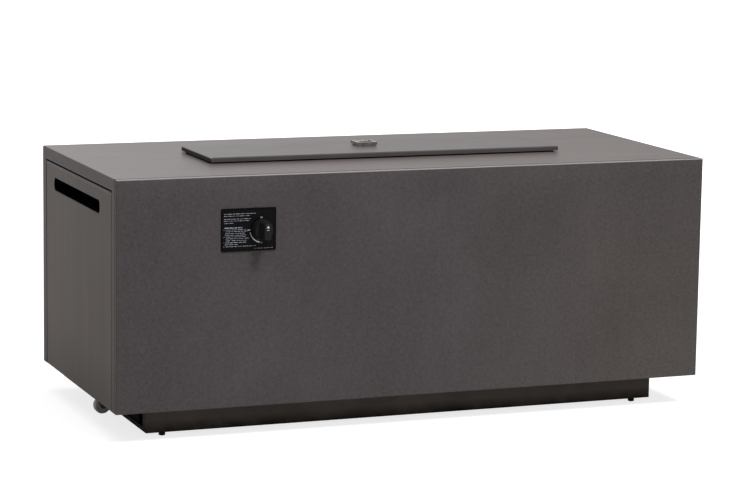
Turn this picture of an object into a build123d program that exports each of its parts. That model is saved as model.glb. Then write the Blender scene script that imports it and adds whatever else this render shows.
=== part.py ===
from build123d import *
import os

# Free-standing rectangular gas fire table. Cast panels on a steel tube frame stand on a recessed
# plinth; the left end is the front of a drawer for the gas cylinder; a lid covers the fire pan.
# Millimetres. X runs along the length (drawer end at -X), the controls face -Y, Z = 0 is the floor.

os.makedirs("parts", exist_ok=True)

# ---------------------------------------------------------------- driving dimensions

# casing
casing_length = 1422.0
casing_depth = 625.0
casing_height = 517.0
top_thickness = 27.0
wall_thickness = 32.0
skin_thickness = 14.0
rib_width = 50.0
arris_radius = 3.0
pocket_radius = 8.0
pockets_per_side = 3

# plinth and feet
floor_gap = 9.0
plinth_height = 62.0
plinth_end_setback = 88.0
plinth_side_setback = 68.0
plinth_sheet = 2.0
plinth_flange = 25.0
plinth_rail_height = 10.0
foot_inset = 41.0
foot_pad_radius = 7.6
foot_pad_height = 6.5
foot_pad_chamfer = 1.2
foot_neck_radius = 6.0
foot_stem_radius = 3.95
foot_stem_length = 36.0
foot_hole_clearance = 0.35
nut_width = 13.0
nut_height = 6.5

# steel frame
tube_width = 25.0
tube_wall = 2.0
bottom_rail_width = 50.0
deck_sheet = 1.5
deck_clearance = 1.0
deck_vent_radius = 9.0
deck_vent_pitch = 150.0
deck_vents_long = 5
deck_vents_wide = 3

# drawer front
door_gap = 3.5
door_top_gap = 3.5
door_thickness = 22.0
door_arris = 1.5
slot_length = 389.0
slot_height = 33.0
slot_radius = 13.0
slot_offset_y = 11.0
slot_below_door_top = 46.8
liner_clearance = 0.2
liner_sheet = 1.5
liner_inset = 0.8
liner_flange = 9.0

# drawer slides
slide_length = 420.0
slide_height = 45.0
slide_thickness = 12.7
slide_sheet = 1.2
slide_clearance = 0.4
slide_centre_z = 115.5
slide_behind_door = 4.0
slide_lip_step = 2.2
channel_height = 40.0
channel_depth = 36.8
channel_sheet = 2.0

# cylinder tray
tray_sheet = 2.0
tray_floor_z = 27.0
shelf_z = 53.0
shelf_wheel_gap = 8.0
tray_length = 420.0
tray_wall_height = 111.0
tray_rear_height = 46.0
tray_front_flange = 50.0
tray_flange_gap = 1.0
tank_behind_door = 181.0
ring_radius = 104.0
ring_wall = 2.5
ring_height = 20.0
tray_vent_radius = 12.0
tray_vent_circle = 66.0
tray_vents = 6

# cylinder clamping screw
screw_radius = 3.0
screw_boss_radius = 7.0
screw_boss_length = 10.0
screw_boss_height = 11.0
screw_head_radius = 9.0
screw_head_length = 8.0
screw_head_gap = 1.0
screw_knurls = 12
screw_knurl_radius = 1.0
screw_travel = 8.0

# drawer uprights and bolts
upright_width = 30.0
upright_sheet = 2.5
upright_top = 473.0
bolt_radius = 2.95
bolt_head_radius = 5.0
bolt_head_height = 4.0
bolt_bite = 13.0
bolt_end_gap = 1.0
bolt_clearance = 0.1

# caster
wheel_radius = 19.0
wheel_width = 17.0
wheel_ground_gap = 5.0
wheel_behind_door = 34.0
wheel_tread_radius = 3.0
wheel_rim_width = 5.0
wheel_hub_radius = 6.0
wheel_recess = 2.5
axle_radius = 3.0
running_clearance = 0.05
fork_sheet = 2.5
fork_gap = 1.0
fork_plate_length = 50.0
fork_plate_width = 46.0
fork_plate_corner = 2.5
fork_cheek_top = 40.0
fork_cheek_end = 7.0
axle_head_radius = 5.0
axle_head_length = 2.0

# door catches
magnet_width = 14.0
magnet_height = 40.0
magnet_gap = 0.3
magnet_inset = 3.0
magnet_z = 323.0
strike_sheet = 1.5

# fire pan
pan_length = 820.0
pan_width = 178.0
pan_depth = 70.0
pan_sheet = 2.0
pan_flange = 16.0
pan_corner = 12.0
pan_clearance = 2.0
pan_hole_clearance = 0.3
slab_pocket_inset = 48.0

# burner
burner_radius = 9.5
burner_run = 300.0
burner_half_width = 42.0
burner_lift = 9.5
burner_socket_radius = 12.0
burner_socket_gap = 1.5
port_radius = 1.5
port_depth = 3.0
port_from_end = 30.0
ports_per_run = 19
burner_bracket_x = 200.0
burner_bracket_width = 20.0
burner_bracket_sheet = 1.5
burner_bracket_half = 62.0
burner_bracket_foot = 10.0
burner_bracket_gap = 0.1

# mixer and gas line
mixer_radius = 13.0
mixer_length = 83.0
mixer_throat_radius = 9.0
mixer_window_length = 18.0
mixer_window_height = 9.0
mixer_window_from_end = 36.0
stub_radius = 9.5
pipe_radius = 4.0
pipe_bend_radius = 60.0
pipe_nut_width = 14.0
pipe_nut_length = 12.0

# igniter and flame sensor
sensor_radius = 3.5
sensor_flange_radius = 6.0
sensor_flange_height = 1.5
sensor_length = 27.0
sensor_tail = 14.0
igniter_x = -62.0
thermocouple_x = -92.0
electrode_radius = 1.0
electrode_length = 8.0
thermocouple_tip_radius = 2.0

# heat shield
shield_sheet = 1.5
shield_length = 270.0
shield_width = 250.0
shield_drop = 59.0
shield_overhang = 5.0
shield_lip = 12.0
hanger_radius = 5.0
hanger_inset = 14.0

# control plate, valve and knob
control_length = 127.2
control_height = 95.2
control_from_end = 301.4
control_from_top = 120.0
control_sheet = 2.5
control_rim = 3.0
control_recess = 0.8
control_edge = 0.8
control_recess_corner = 1.5
control_hole_length = 104.0
control_hole_height = 70.0
control_corner = 3.0
bracket_sheet = 1.5
bracket_margin = 5.0
knob_from_plate_centre = 30.0
knob_below_plate_centre = 1.0
valve_width = 46.0
valve_height = 40.0
valve_depth = 65.0
valve_edge = 4.0
valve_front_wall = 3.0
neck_radius = 7.0
neck_clearance = 0.2
plug_radius = 7.95
plug_length = 31.0
plug_end_gap = 0.4
plug_bottom = 4.0
stem_radius = 3.0
stem_flat = 2.2
stem_end_gap = 4.0
stem_clearance = 0.3
stem_in_knob = 24.0
knob_skirt_radius = 24.0
knob_skirt_height = 3.0
knob_skirt_edge = 0.5
knob_face_radius = 20.6
knob_body_height = 14.5
knob_grip_radius = 19.6
knob_grip_width = 18.0
knob_grip_height = 26.0
knob_grip_taper = 2.5
knob_grip_corner = 3.5
knob_grip_edge = 3.2
knob_push_gap = 3.5
outlet_from_back = 10.0
inlet_hex_width = 17.0
inlet_hex_height = 12.0
inlet_radius = 7.9
inlet_length = 16.0
inlet_bore_radius = 4.0

# lid
lid_length = 864.0
lid_width = 225.0
lid_rise = 14.0
lid_edge = 10.5
lid_sheet = 2.0
lid_corner = 5.0
lid_bend = 3.5
lid_lip_clearance = 3.0
lid_lip_drop = 6.0
lid_lip_gap = 12.0
stiffener_length = 640.0
stiffener_width = 70.0
stiffener_height = 6.0
stiffener_sheet = 1.5
bumper_length = 24.0
bumper_width = 8.0
bumper_x = 380.0

# lid pull
pull_x = -12.0
pull_y = 18.0
pull_width = 50.0
pull_depth = 46.0
pull_bar = 7.0
pull_front_bar = 8.0
pull_thickness = 6.6
pull_corner = 2.0
pull_chamfer = 0.5
pull_base_sheet = 2.0
pull_base_margin = 2.0
pull_base_gap = 1.0
knuckle_width = 20.0
knuckle_gap = 0.3
pull_pin_radius = 1.5
pull_pin_length = 43.6
pull_pin_press = 0.01
pull_nub_offset = 7.0
pull_nub_radius = 4.0
pull_nub_height = 1.6
pull_screw_radius = 1.95
pull_screw_head_radius = 3.4
pull_screw_head_height = 1.4
pull_screw_spacing = 17.0
pull_screw_offset = 7.0

# panel screws
panel_screw_low = 213.0
panel_screw_high = 433.0
panel_screw_stagger = 30.0

# ---------------------------------------------------------------- derived places

half_length = casing_length / 2
half_depth = casing_depth / 2
casing_bottom = floor_gap + plinth_height
casing_top = casing_bottom + casing_height
slab_underside = casing_top - top_thickness
inner_x = half_length - wall_thickness
inner_y = half_depth - wall_thickness

pocket_left = -half_length + rib_width
pocket_right = inner_x - rib_width
pocket_bottom = casing_bottom + rib_width
pocket_top = slab_underside - rib_width
pocket_length = (pocket_right - pocket_left - (pockets_per_side - 1) * rib_width) / pockets_per_side
pocket_pitch = pocket_length + rib_width
pocket_depth = wall_thickness - skin_thickness

door_back = -half_length + door_thickness
door_half_width = inner_y - door_gap
door_top = slab_underside - door_top_gap
slot_z = door_top - slot_below_door_top

post_y = inner_y - tube_width / 2
post_face_y = inner_y - tube_width
left_post_x = -half_length + rib_width - tube_width / 2
rib_post_x = [pocket_left + i * pocket_pitch - rib_width / 2 for i in range(1, pockets_per_side)]
right_post_x = inner_x - tube_width / 2
post_x = [left_post_x] + rib_post_x + [right_post_x]
frame_left = left_post_x - tube_width / 2
bottom_rail_top = casing_bottom + tube_width
top_rail_bottom = slab_underside - tube_width
bottom_rail_y = inner_y - bottom_rail_width / 2
bottom_rail_face_y = inner_y - bottom_rail_width

plinth_x = half_length - plinth_end_setback
plinth_y = half_depth - plinth_side_setback
plinth_flange_y = plinth_y - plinth_flange
foot_x = plinth_x - foot_inset
foot_y = plinth_y - plinth_flange / 2

slide_web_y = post_face_y - channel_depth
tray_half = slide_web_y - slide_thickness
tray_inner_half = tray_half - tray_sheet
slide_left = door_back + slide_behind_door
slide_tip_y = tray_half + slide_lip_step
slide_half = slide_height / 2
slide_step = slide_sheet + slide_clearance
wheel_x = door_back + wheel_behind_door
tank_x = door_back + tank_behind_door
shelf_right = wheel_x + wheel_radius + shelf_wheel_gap + tray_sheet
tray_right = door_back + tray_length
tray_floor_top = tray_floor_z + tray_sheet
tray_wall_top = tray_floor_z + tray_wall_height

axle_z = wheel_ground_gap + wheel_radius
fork_inner = wheel_width / 2 + fork_gap
fork_outer = fork_inner + fork_sheet
fork_plate_bottom = shelf_z - fork_sheet

pan_bottom = casing_top + pan_sheet - pan_depth
pan_floor_top = pan_bottom + pan_sheet
burner_z = pan_floor_top + burner_lift + burner_radius
burner_bottom = burner_z - burner_radius

lid_top = casing_top + lid_rise
lid_bottom = lid_top - lid_edge
lid_underside = lid_top - lid_sheet
flange_top = casing_top + pan_sheet

control_x = -half_length + control_from_end
control_z = casing_top - control_from_top
knob_x = control_x + knob_from_plate_centre
knob_z = control_z - knob_below_plate_centre
pocket_floor_y = half_depth - skin_thickness
valve_front_y = pocket_floor_y - bracket_sheet
valve_back_y = valve_front_y - valve_depth
pipe_y = valve_back_y + outlet_from_back
plate_front_y = half_depth + control_sheet
knob_back_y = plate_front_y + knob_push_gap
knob_face_y = knob_back_y + knob_body_height
knob_front_y = knob_face_y + knob_grip_height
valve_right_x = knob_x + valve_width / 2
mixer_end_y = mixer_length
mixer_z = knob_z
plug_bore_y = valve_front_y - valve_front_wall
plug_bore_depth = plug_length + 2 * plug_end_gap

base_top = lid_top + pull_base_sheet
ring_bottom = base_top + pull_base_gap
hinge_z = ring_bottom + pull_thickness / 2
hinge_y = pull_y + pull_depth / 2 - pull_thickness / 2
ring_front_y = pull_y - pull_depth / 2
pull_screw_y = pull_y - pull_screw_offset
pull_screw_half = pull_screw_spacing / 2
pull_screw_points = [(pull_x + side * pull_screw_half, pull_screw_y) for side in (-1, 1)]

upright_bolt_z = [163.0, 303.0, 443.0]
upright_y = tray_inner_half - upright_width / 2
flange_bolt_y = 110.0
flange_bolt_z = shelf_z + tray_front_flange / 2
upright_bolts = [(side * upright_y, z) for side in (-1, 1) for z in upright_bolt_z]
flange_bolts = [(side * flange_bolt_y, flange_bolt_z) for side in (-1, 1)]
magnet_y = post_y - magnet_inset
shield_z = slab_underside - shield_drop
shield_x = -pan_length / 2 + shield_length / 2 - shield_overhang
hanger_x = shield_length / 2 - hanger_inset
hanger_y = shield_width / 2 - hanger_inset


def span_rectangle(u_start, u_end, v_start, v_end, mode=Mode.ADD):
    """A rectangle between two corners of the sketch that is open."""
    with Locations(((u_start + u_end) / 2, (v_start + v_end) / 2)):
        Rectangle(abs(u_end - u_start), abs(v_end - v_start), mode=mode)


def tube_profile(width, height):
    """A hollow rectangular tube section in the sketch that is open."""
    Rectangle(width, height)
    Rectangle(width - 2 * tube_wall, height - 2 * tube_wall, mode=Mode.SUBTRACT)


# ---------------------------------------------------------------- cast casing

# The block whose rounded arrises every outer panel shares.
with BuildPart() as casing_blank:
    with BuildSketch(Plane.XY.offset(casing_bottom)):
        Rectangle(casing_length, casing_depth)
    extrude(amount=casing_height)
    upright_arrises = casing_blank.edges().filter_by(Axis.Z)
    top_arrises = casing_blank.faces().sort_by(Axis.Z)[-1].edges()
    fillet(upright_arrises + top_arrises, radius=arris_radius)

# Top slab: mitred to the three panels below it, square at the drawer end, with the pan's cut-out.
with BuildPart() as top_slab:
    with BuildSketch(Plane.XY.offset(casing_top)):
        span_rectangle(-half_length, half_length, -half_depth, half_depth)
    with BuildSketch(Plane.XY.offset(slab_underside)):
        span_rectangle(-half_length, inner_x, -inner_y, inner_y)
    loft(ruled=True)
    add(casing_blank.part, mode=Mode.INTERSECT)
    with BuildSketch(Plane.XY.offset(slab_underside)):
        RectangleRounded(pan_length + 2 * pan_clearance, pan_width + 2 * pan_clearance, pan_corner)
    extrude(amount=top_thickness, mode=Mode.SUBTRACT)
    slab_pocket_start = pan_width / 2 + slab_pocket_inset
    slab_pocket_width = post_face_y - slab_pocket_start
    with BuildSketch(Plane.XY.offset(slab_underside)):
        with Locations(((pocket_left + pocket_right) / 2, 0)):
            with GridLocations(
                pocket_pitch, 2 * slab_pocket_start + slab_pocket_width, pockets_per_side, 2
            ):
                RectangleRounded(pocket_length, slab_pocket_width, pocket_radius)
    extrude(amount=top_thickness - skin_thickness, mode=Mode.SUBTRACT)
top_slab.part.label = "top_slab"
export_step(top_slab.part, "parts/top_slab.step")


def side_panel(side):
    """The long panel at the front (side -1) or back (side +1), mitred and pocketed inside."""
    with BuildPart() as panel:
        with BuildSketch(Plane.XZ.offset(-side * half_depth)):
            span_rectangle(-half_length, half_length, casing_bottom, casing_top)
        with BuildSketch(Plane.XZ.offset(-side * inner_y)):
            span_rectangle(-half_length, inner_x, casing_bottom, slab_underside)
        loft(ruled=True)
        add(casing_blank.part, mode=Mode.INTERSECT)
        with BuildSketch(Plane.XZ.offset(-side * inner_y)):
            with Locations(
                ((pocket_left + pocket_right) / 2, (pocket_bottom + pocket_top) / 2)
            ):
                with GridLocations(pocket_pitch, 1, pockets_per_side, 1):
                    RectangleRounded(pocket_length, pocket_top - pocket_bottom, pocket_radius)
        extrude(amount=-side * pocket_depth, mode=Mode.SUBTRACT)
        with BuildSketch(Plane.XZ.offset(-side * inner_y)):
            with Locations(*[(x, z) for x in post_x for z in (panel_screw_low, panel_screw_high)]):
                Circle(bolt_radius + bolt_clearance)
        extrude(amount=-side * bolt_bite, mode=Mode.SUBTRACT)
    return panel.part


with BuildPart() as front_panel:
    add(side_panel(-1))
    with BuildSketch(Plane.XZ.offset(half_depth)):
        with Locations((control_x, control_z)):
            RectangleRounded(control_hole_length, control_hole_height, control_corner)
    extrude(amount=-wall_thickness, mode=Mode.SUBTRACT)
front_panel.part.label = "front_panel"
export_step(front_panel.part, "parts/front_panel.step")

with BuildPart() as back_panel:
    add(side_panel(1))
back_panel.part.label = "back_panel"
export_step(back_panel.part, "parts/back_panel.step")

end_screw_z = [panel_screw_low + panel_screw_stagger, panel_screw_high - panel_screw_stagger]
end_screw_points = [(side * post_y, z) for side in (-1, 1) for z in end_screw_z]

with BuildPart() as right_end_panel:
    with BuildSketch(Plane.YZ.offset(half_length)):
        span_rectangle(-half_depth, half_depth, casing_bottom, casing_top)
    with BuildSketch(Plane.YZ.offset(inner_x)):
        span_rectangle(-inner_y, inner_y, casing_bottom, slab_underside)
    loft(ruled=True)
    add(casing_blank.part, mode=Mode.INTERSECT)
    with BuildSketch(Plane.YZ.offset(inner_x)):
        with Locations((0, (pocket_bottom + pocket_top) / 2)):
            RectangleRounded(
                2 * (inner_y - rib_width), pocket_top - pocket_bottom, pocket_radius
            )
    extrude(amount=pocket_depth, mode=Mode.SUBTRACT)
    with BuildSketch(Plane.YZ.offset(inner_x)):
        with Locations(*end_screw_points):
            Circle(bolt_radius + bolt_clearance)
    extrude(amount=bolt_bite, mode=Mode.SUBTRACT)
right_end_panel.part.label = "right_end_panel"
export_step(right_end_panel.part, "parts/right_end_panel.step")

# ---------------------------------------------------------------- steel frame

# Posts stand on the bottom rails behind each rib of the long panels.
with BuildPart() as frame_posts:
    with BuildSketch(Plane.XY.offset(bottom_rail_top)):
        with Locations(*[(x, side * post_y) for x in post_x for side in (-1, 1)]):
            tube_profile(tube_width, tube_width)
    extrude(amount=top_rail_bottom - bottom_rail_top)
    for side in (-1, 1):
        with BuildSketch(Plane.XZ.offset(-side * post_face_y)):
            with Locations(*[(x, z) for x in post_x for z in (panel_screw_low, panel_screw_high)]):
                Circle(bolt_radius + bolt_clearance)
        extrude(amount=-side * tube_width, mode=Mode.SUBTRACT)
    with BuildSketch(Plane.YZ.offset(inner_x - tube_width)):
        with Locations(*end_screw_points):
            Circle(bolt_radius + bolt_clearance)
    extrude(amount=tube_width, mode=Mode.SUBTRACT)
frame_posts.part.label = "frame_posts"
export_step(frame_posts.part, "parts/frame_posts.step")

with BuildPart() as frame_top_rails:
    with BuildSketch(Plane.YZ.offset(frame_left)):
        with Locations(*[(side * post_y, top_rail_bottom + tube_width / 2) for side in (-1, 1)]):
            tube_profile(tube_width, tube_width)
    extrude(amount=inner_x - frame_left)
frame_top_rails.part.label = "frame_top_rails"
export_step(frame_top_rails.part, "parts/frame_top_rails.step")

with BuildPart() as frame_top_crossbars:
    with BuildSketch(Plane.XZ.offset(-post_face_y)):
        with Locations(*[(x, top_rail_bottom + tube_width / 2) for x in (left_post_x, right_post_x)]):
            tube_profile(tube_width, tube_width)
    extrude(amount=2 * post_face_y)
frame_top_crossbars.part.label = "frame_top_crossbars"
export_step(frame_top_crossbars.part, "parts/frame_top_crossbars.step")

with BuildPart() as frame_bottom_rails:
    with BuildSketch(Plane.YZ.offset(frame_left)):
        with Locations(*[(side * bottom_rail_y, casing_bottom + tube_width / 2) for side in (-1, 1)]):
            tube_profile(bottom_rail_width, tube_width)
    extrude(amount=inner_x - frame_left)
frame_bottom_rails.part.label = "frame_bottom_rails"
export_step(frame_bottom_rails.part, "parts/frame_bottom_rails.step")

with BuildPart() as frame_bottom_crossbars:
    with BuildSketch(Plane.XZ.offset(-bottom_rail_face_y)):
        with Locations(*[(x, casing_bottom + tube_width / 2) for x in post_x[1:]]):
            tube_profile(tube_width, tube_width)
    extrude(amount=2 * bottom_rail_face_y)
frame_bottom_crossbars.part.label = "frame_bottom_crossbars"
export_step(frame_bottom_crossbars.part, "parts/frame_bottom_crossbars.step")

# Base deck behind the drawer, notched round the posts, with holes that let leaked gas fall out.
with BuildPart() as base_deck:
    with BuildSketch(Plane.XY.offset(bottom_rail_top)):
        span_rectangle(rib_post_x[0], inner_x, -inner_y, inner_y)
        notch = tube_width + 2 * deck_clearance
        with Locations(*[(x, side * post_y) for x in post_x for side in (-1, 1)]):
            Rectangle(notch, notch, mode=Mode.SUBTRACT)
        with Locations(((rib_post_x[0] + inner_x) / 2, 0)):
            with GridLocations(deck_vent_pitch, deck_vent_pitch, deck_vents_long, deck_vents_wide):
                Circle(deck_vent_radius, mode=Mode.SUBTRACT)
    extrude(amount=deck_sheet)
base_deck.part.label = "base_deck"
export_step(base_deck.part, "parts/base_deck.step")


def screw_set(plane, points, shank):
    """Round-headed screws at points of a plane: heads on its near side, shanks along its normal."""
    with BuildPart() as screws:
        with BuildSketch(plane):
            with Locations(*points):
                Circle(bolt_radius)
        extrude(amount=shank)
        with BuildSketch(plane):
            with Locations(*points):
                Circle(bolt_head_radius)
        extrude(amount=-bolt_head_height)
    return screws.part


with BuildPart() as panel_screws:
    side_screw_points = [(x, z) for x in post_x for z in (panel_screw_low, panel_screw_high)]
    screw_reach = tube_width + bolt_bite - bolt_end_gap
    add(screw_set(Plane.XZ.offset(post_face_y), side_screw_points, screw_reach))
    add(screw_set(Plane.XZ.offset(post_face_y), side_screw_points, screw_reach).mirror(Plane.XZ))
    add(screw_set(Plane.YZ.offset(inner_x - tube_width), end_screw_points, screw_reach))
panel_screws.part.label = "panel_screws"
export_step(panel_screws.part, "parts/panel_screws.step")

# ---------------------------------------------------------------- plinth and feet


def plinth_side(side):
    """A long folded C-section of the plinth, with a return at each end and the foot holes."""
    with BuildPart() as rail:
        with BuildSketch(Plane.YZ.offset(-plinth_x)):
            span_rectangle(side * plinth_y, side * (plinth_y - plinth_sheet), floor_gap, casing_bottom)
            span_rectangle(side * plinth_y, side * plinth_flange_y, floor_gap, floor_gap + plinth_sheet)
            span_rectangle(
                side * plinth_y, side * plinth_flange_y, casing_bottom - plinth_sheet, casing_bottom
            )
        extrude(amount=2 * plinth_x)
        for plane in (Plane.YZ.offset(-plinth_x), Plane.YZ.offset(plinth_x - plinth_sheet)):
            with BuildSketch(plane):
                span_rectangle(side * plinth_y, side * plinth_flange_y, floor_gap, casing_bottom)
            extrude(amount=plinth_sheet)
        with BuildSketch(Plane.XY.offset(floor_gap)):
            with Locations((-foot_x, side * foot_y), (foot_x, side * foot_y)):
                Circle(foot_stem_radius + foot_hole_clearance)
        extrude(amount=plinth_sheet, mode=Mode.SUBTRACT)
    return rail.part


with BuildPart() as plinth_front:
    add(plinth_side(-1))
plinth_front.part.label = "plinth_front"
export_step(plinth_front.part, "parts/plinth_front.step")

with BuildPart() as plinth_back:
    add(plinth_side(1))
plinth_back.part.label = "plinth_back"
export_step(plinth_back.part, "parts/plinth_back.step")

with BuildPart() as plinth_right_end:
    with BuildSketch(Plane.XZ.offset(-plinth_flange_y)):
        span_rectangle(plinth_x, plinth_x - plinth_sheet, floor_gap, casing_bottom)
        span_rectangle(plinth_x, plinth_x - plinth_flange, floor_gap, floor_gap + plinth_sheet)
        span_rectangle(plinth_x, plinth_x - plinth_flange, casing_bottom - plinth_sheet, casing_bottom)
    extrude(amount=2 * plinth_flange_y)
plinth_right_end.part.label = "plinth_right_end"
export_step(plinth_right_end.part, "parts/plinth_right_end.step")

# The drawer end of the plinth is open but for a low rail that the drawer passes over.
with BuildPart() as plinth_left_rail:
    with BuildSketch(Plane.XZ.offset(-plinth_flange_y)):
        span_rectangle(
            -plinth_x, -plinth_x + plinth_sheet, floor_gap, floor_gap + plinth_rail_height
        )
        span_rectangle(-plinth_x, -plinth_x + plinth_flange, floor_gap, floor_gap + plinth_sheet)
    extrude(amount=2 * plinth_flange_y)
plinth_left_rail.part.label = "plinth_left_rail"
export_step(plinth_left_rail.part, "parts/plinth_left_rail.step")

foot_points = [(x, y) for x in (-foot_x, foot_x) for y in (-foot_y, foot_y)]

with BuildPart() as foot_nuts:
    with BuildSketch(Plane.XY.offset(floor_gap + plinth_sheet)):
        with Locations(*foot_points):
            RegularPolygon(nut_width / 2, 6, major_radius=False)
            Circle(foot_stem_radius + running_clearance, mode=Mode.SUBTRACT)
    extrude(amount=nut_height)
foot_nuts.part.label = "foot_nuts"
export_step(foot_nuts.part, "parts/foot_nuts.step")


def levelling_foot(x, y):
    """A turned foot: chamfered pad, neck that seats under the plinth, and threaded stem."""
    with BuildPart() as foot:
        with BuildSketch(Plane.XY):
            with Locations((x, y)):
                Circle(foot_pad_radius)
        extrude(amount=foot_pad_height)
        chamfer(foot.edges().group_by(Axis.Z)[-1], length=foot_pad_chamfer)
        with BuildSketch(Plane.XY.offset(foot_pad_height)):
            with Locations((x, y)):
                Circle(foot_neck_radius)
        extrude(amount=floor_gap - foot_pad_height)
        with BuildSketch(Plane.XY.offset(floor_gap)):
            with Locations((x, y)):
                Circle(foot_stem_radius)
        extrude(amount=foot_stem_length)
    return foot.part


with BuildPart() as foot_front_left:
    add(levelling_foot(-foot_x, -foot_y))
foot_front_left.part.label = "foot_front_left"
export_step(foot_front_left.part, "parts/foot_front_left.step")

with BuildPart() as foot_front_right:
    add(levelling_foot(foot_x, -foot_y))
foot_front_right.part.label = "foot_front_right"
export_step(foot_front_right.part, "parts/foot_front_right.step")

with BuildPart() as foot_back_left:
    add(levelling_foot(-foot_x, foot_y))
foot_back_left.part.label = "foot_back_left"
export_step(foot_back_left.part, "parts/foot_back_left.step")

with BuildPart() as foot_back_right:
    add(levelling_foot(foot_x, foot_y))
foot_back_right.part.label = "foot_back_right"
export_step(foot_back_right.part, "parts/foot_back_right.step")

# ---------------------------------------------------------------- drawer front

strike_points = [(side * magnet_y, magnet_z) for side in (-1, 1)]

with BuildPart() as drawer_front:
    with BuildSketch(Plane.YZ.offset(-half_length)):
        span_rectangle(-door_half_width, door_half_width, casing_bottom, door_top)
    extrude(amount=door_thickness)
    fillet(drawer_front.faces().sort_by(Axis.X)[0].edges(), radius=door_arris)
    with BuildSketch(Plane.YZ.offset(-half_length)):
        with Locations((slot_offset_y, slot_z)):
            RectangleRounded(slot_length, slot_height, slot_radius)
    extrude(amount=door_thickness, mode=Mode.SUBTRACT)
    with BuildSketch(Plane.YZ.offset(door_back)):
        with Locations(*strike_points):
            Rectangle(magnet_width, magnet_height)
    extrude(amount=-strike_sheet, mode=Mode.SUBTRACT)
    with BuildSketch(Plane.YZ.offset(door_back)):
        with Locations(*(upright_bolts + flange_bolts)):
            Circle(bolt_radius + bolt_clearance)
    extrude(amount=-bolt_bite, mode=Mode.SUBTRACT)
drawer_front.part.label = "drawer_front"
export_step(drawer_front.part, "parts/drawer_front.step")

# Folded liner of the hand slot: a sleeve through the door with a flange on the door's back.
with BuildPart() as pull_liner:
    liner_length = slot_length - 2 * liner_clearance
    liner_height = slot_height - 2 * liner_clearance
    liner_radius = slot_radius - liner_clearance
    with BuildSketch(Plane.YZ.offset(-half_length + liner_inset)):
        with Locations((slot_offset_y, slot_z)):
            RectangleRounded(liner_length, liner_height, liner_radius)
    extrude(amount=door_thickness - liner_inset + liner_sheet)
    with BuildSketch(Plane.YZ.offset(door_back)):
        with Locations((slot_offset_y, slot_z)):
            RectangleRounded(
                slot_length + 2 * liner_flange, slot_height + 2 * liner_flange, liner_radius
            )
    extrude(amount=liner_sheet)
    with BuildSketch(Plane.YZ.offset(-half_length)):
        with Locations((slot_offset_y, slot_z)):
            RectangleRounded(
                liner_length - 2 * liner_sheet,
                liner_height - 2 * liner_sheet,
                liner_radius - liner_sheet,
            )
    extrude(amount=door_thickness + liner_sheet, mode=Mode.SUBTRACT)
pull_liner.part.label = "pull_liner"
export_step(pull_liner.part, "parts/pull_liner.step")

with BuildPart() as strike_plates:
    with BuildSketch(Plane.YZ.offset(door_back - strike_sheet)):
        with Locations(*strike_points):
            Rectangle(magnet_width, magnet_height)
    extrude(amount=strike_sheet)
strike_plates.part.label = "strike_plates"
export_step(strike_plates.part, "parts/strike_plates.step")

with BuildPart() as magnet_catches:
    with BuildSketch(Plane.YZ.offset(frame_left)):
        with Locations(*strike_points):
            Rectangle(magnet_width, magnet_height)
    extrude(amount=-(frame_left - door_back - magnet_gap))
magnet_catches.part.label = "magnet_catches"
export_step(magnet_catches.part, "parts/magnet_catches.step")

# Angle uprights carry the stone front on the tray's side walls.
with BuildPart() as drawer_uprights:
    with BuildSketch(Plane.XY.offset(shelf_z + tray_sheet)):
        for side in (-1, 1):
            upright_inner_y = side * (tray_inner_half - upright_width)
            span_rectangle(
                door_back, door_back + upright_sheet, side * tray_inner_half, upright_inner_y
            )
            span_rectangle(
                door_back,
                door_back + upright_width,
                side * tray_inner_half,
                side * (tray_inner_half - upright_sheet),
            )
    extrude(amount=upright_top - shelf_z - tray_sheet)
    with BuildSketch(Plane.YZ.offset(door_back)):
        with Locations(*upright_bolts):
            Circle(bolt_radius + bolt_clearance)
    extrude(amount=upright_sheet, mode=Mode.SUBTRACT)
drawer_uprights.part.label = "drawer_uprights"
export_step(drawer_uprights.part, "parts/drawer_uprights.step")

with BuildPart() as drawer_bolts:
    upright_plane = Plane(
        origin=(door_back + upright_sheet, 0, 0), x_dir=(0, -1, 0), z_dir=(-1, 0, 0)
    )
    flange_plane = Plane(origin=(door_back + tray_sheet, 0, 0), x_dir=(0, -1, 0), z_dir=(-1, 0, 0))
    bolt_reach = bolt_bite - bolt_end_gap
    add(screw_set(upright_plane, upright_bolts, upright_sheet + bolt_reach))
    add(screw_set(flange_plane, flange_bolts, tray_sheet + bolt_reach))
drawer_bolts.part.label = "drawer_bolts"
export_step(drawer_bolts.part, "parts/drawer_bolts.step")

# ---------------------------------------------------------------- cylinder tray

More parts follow.
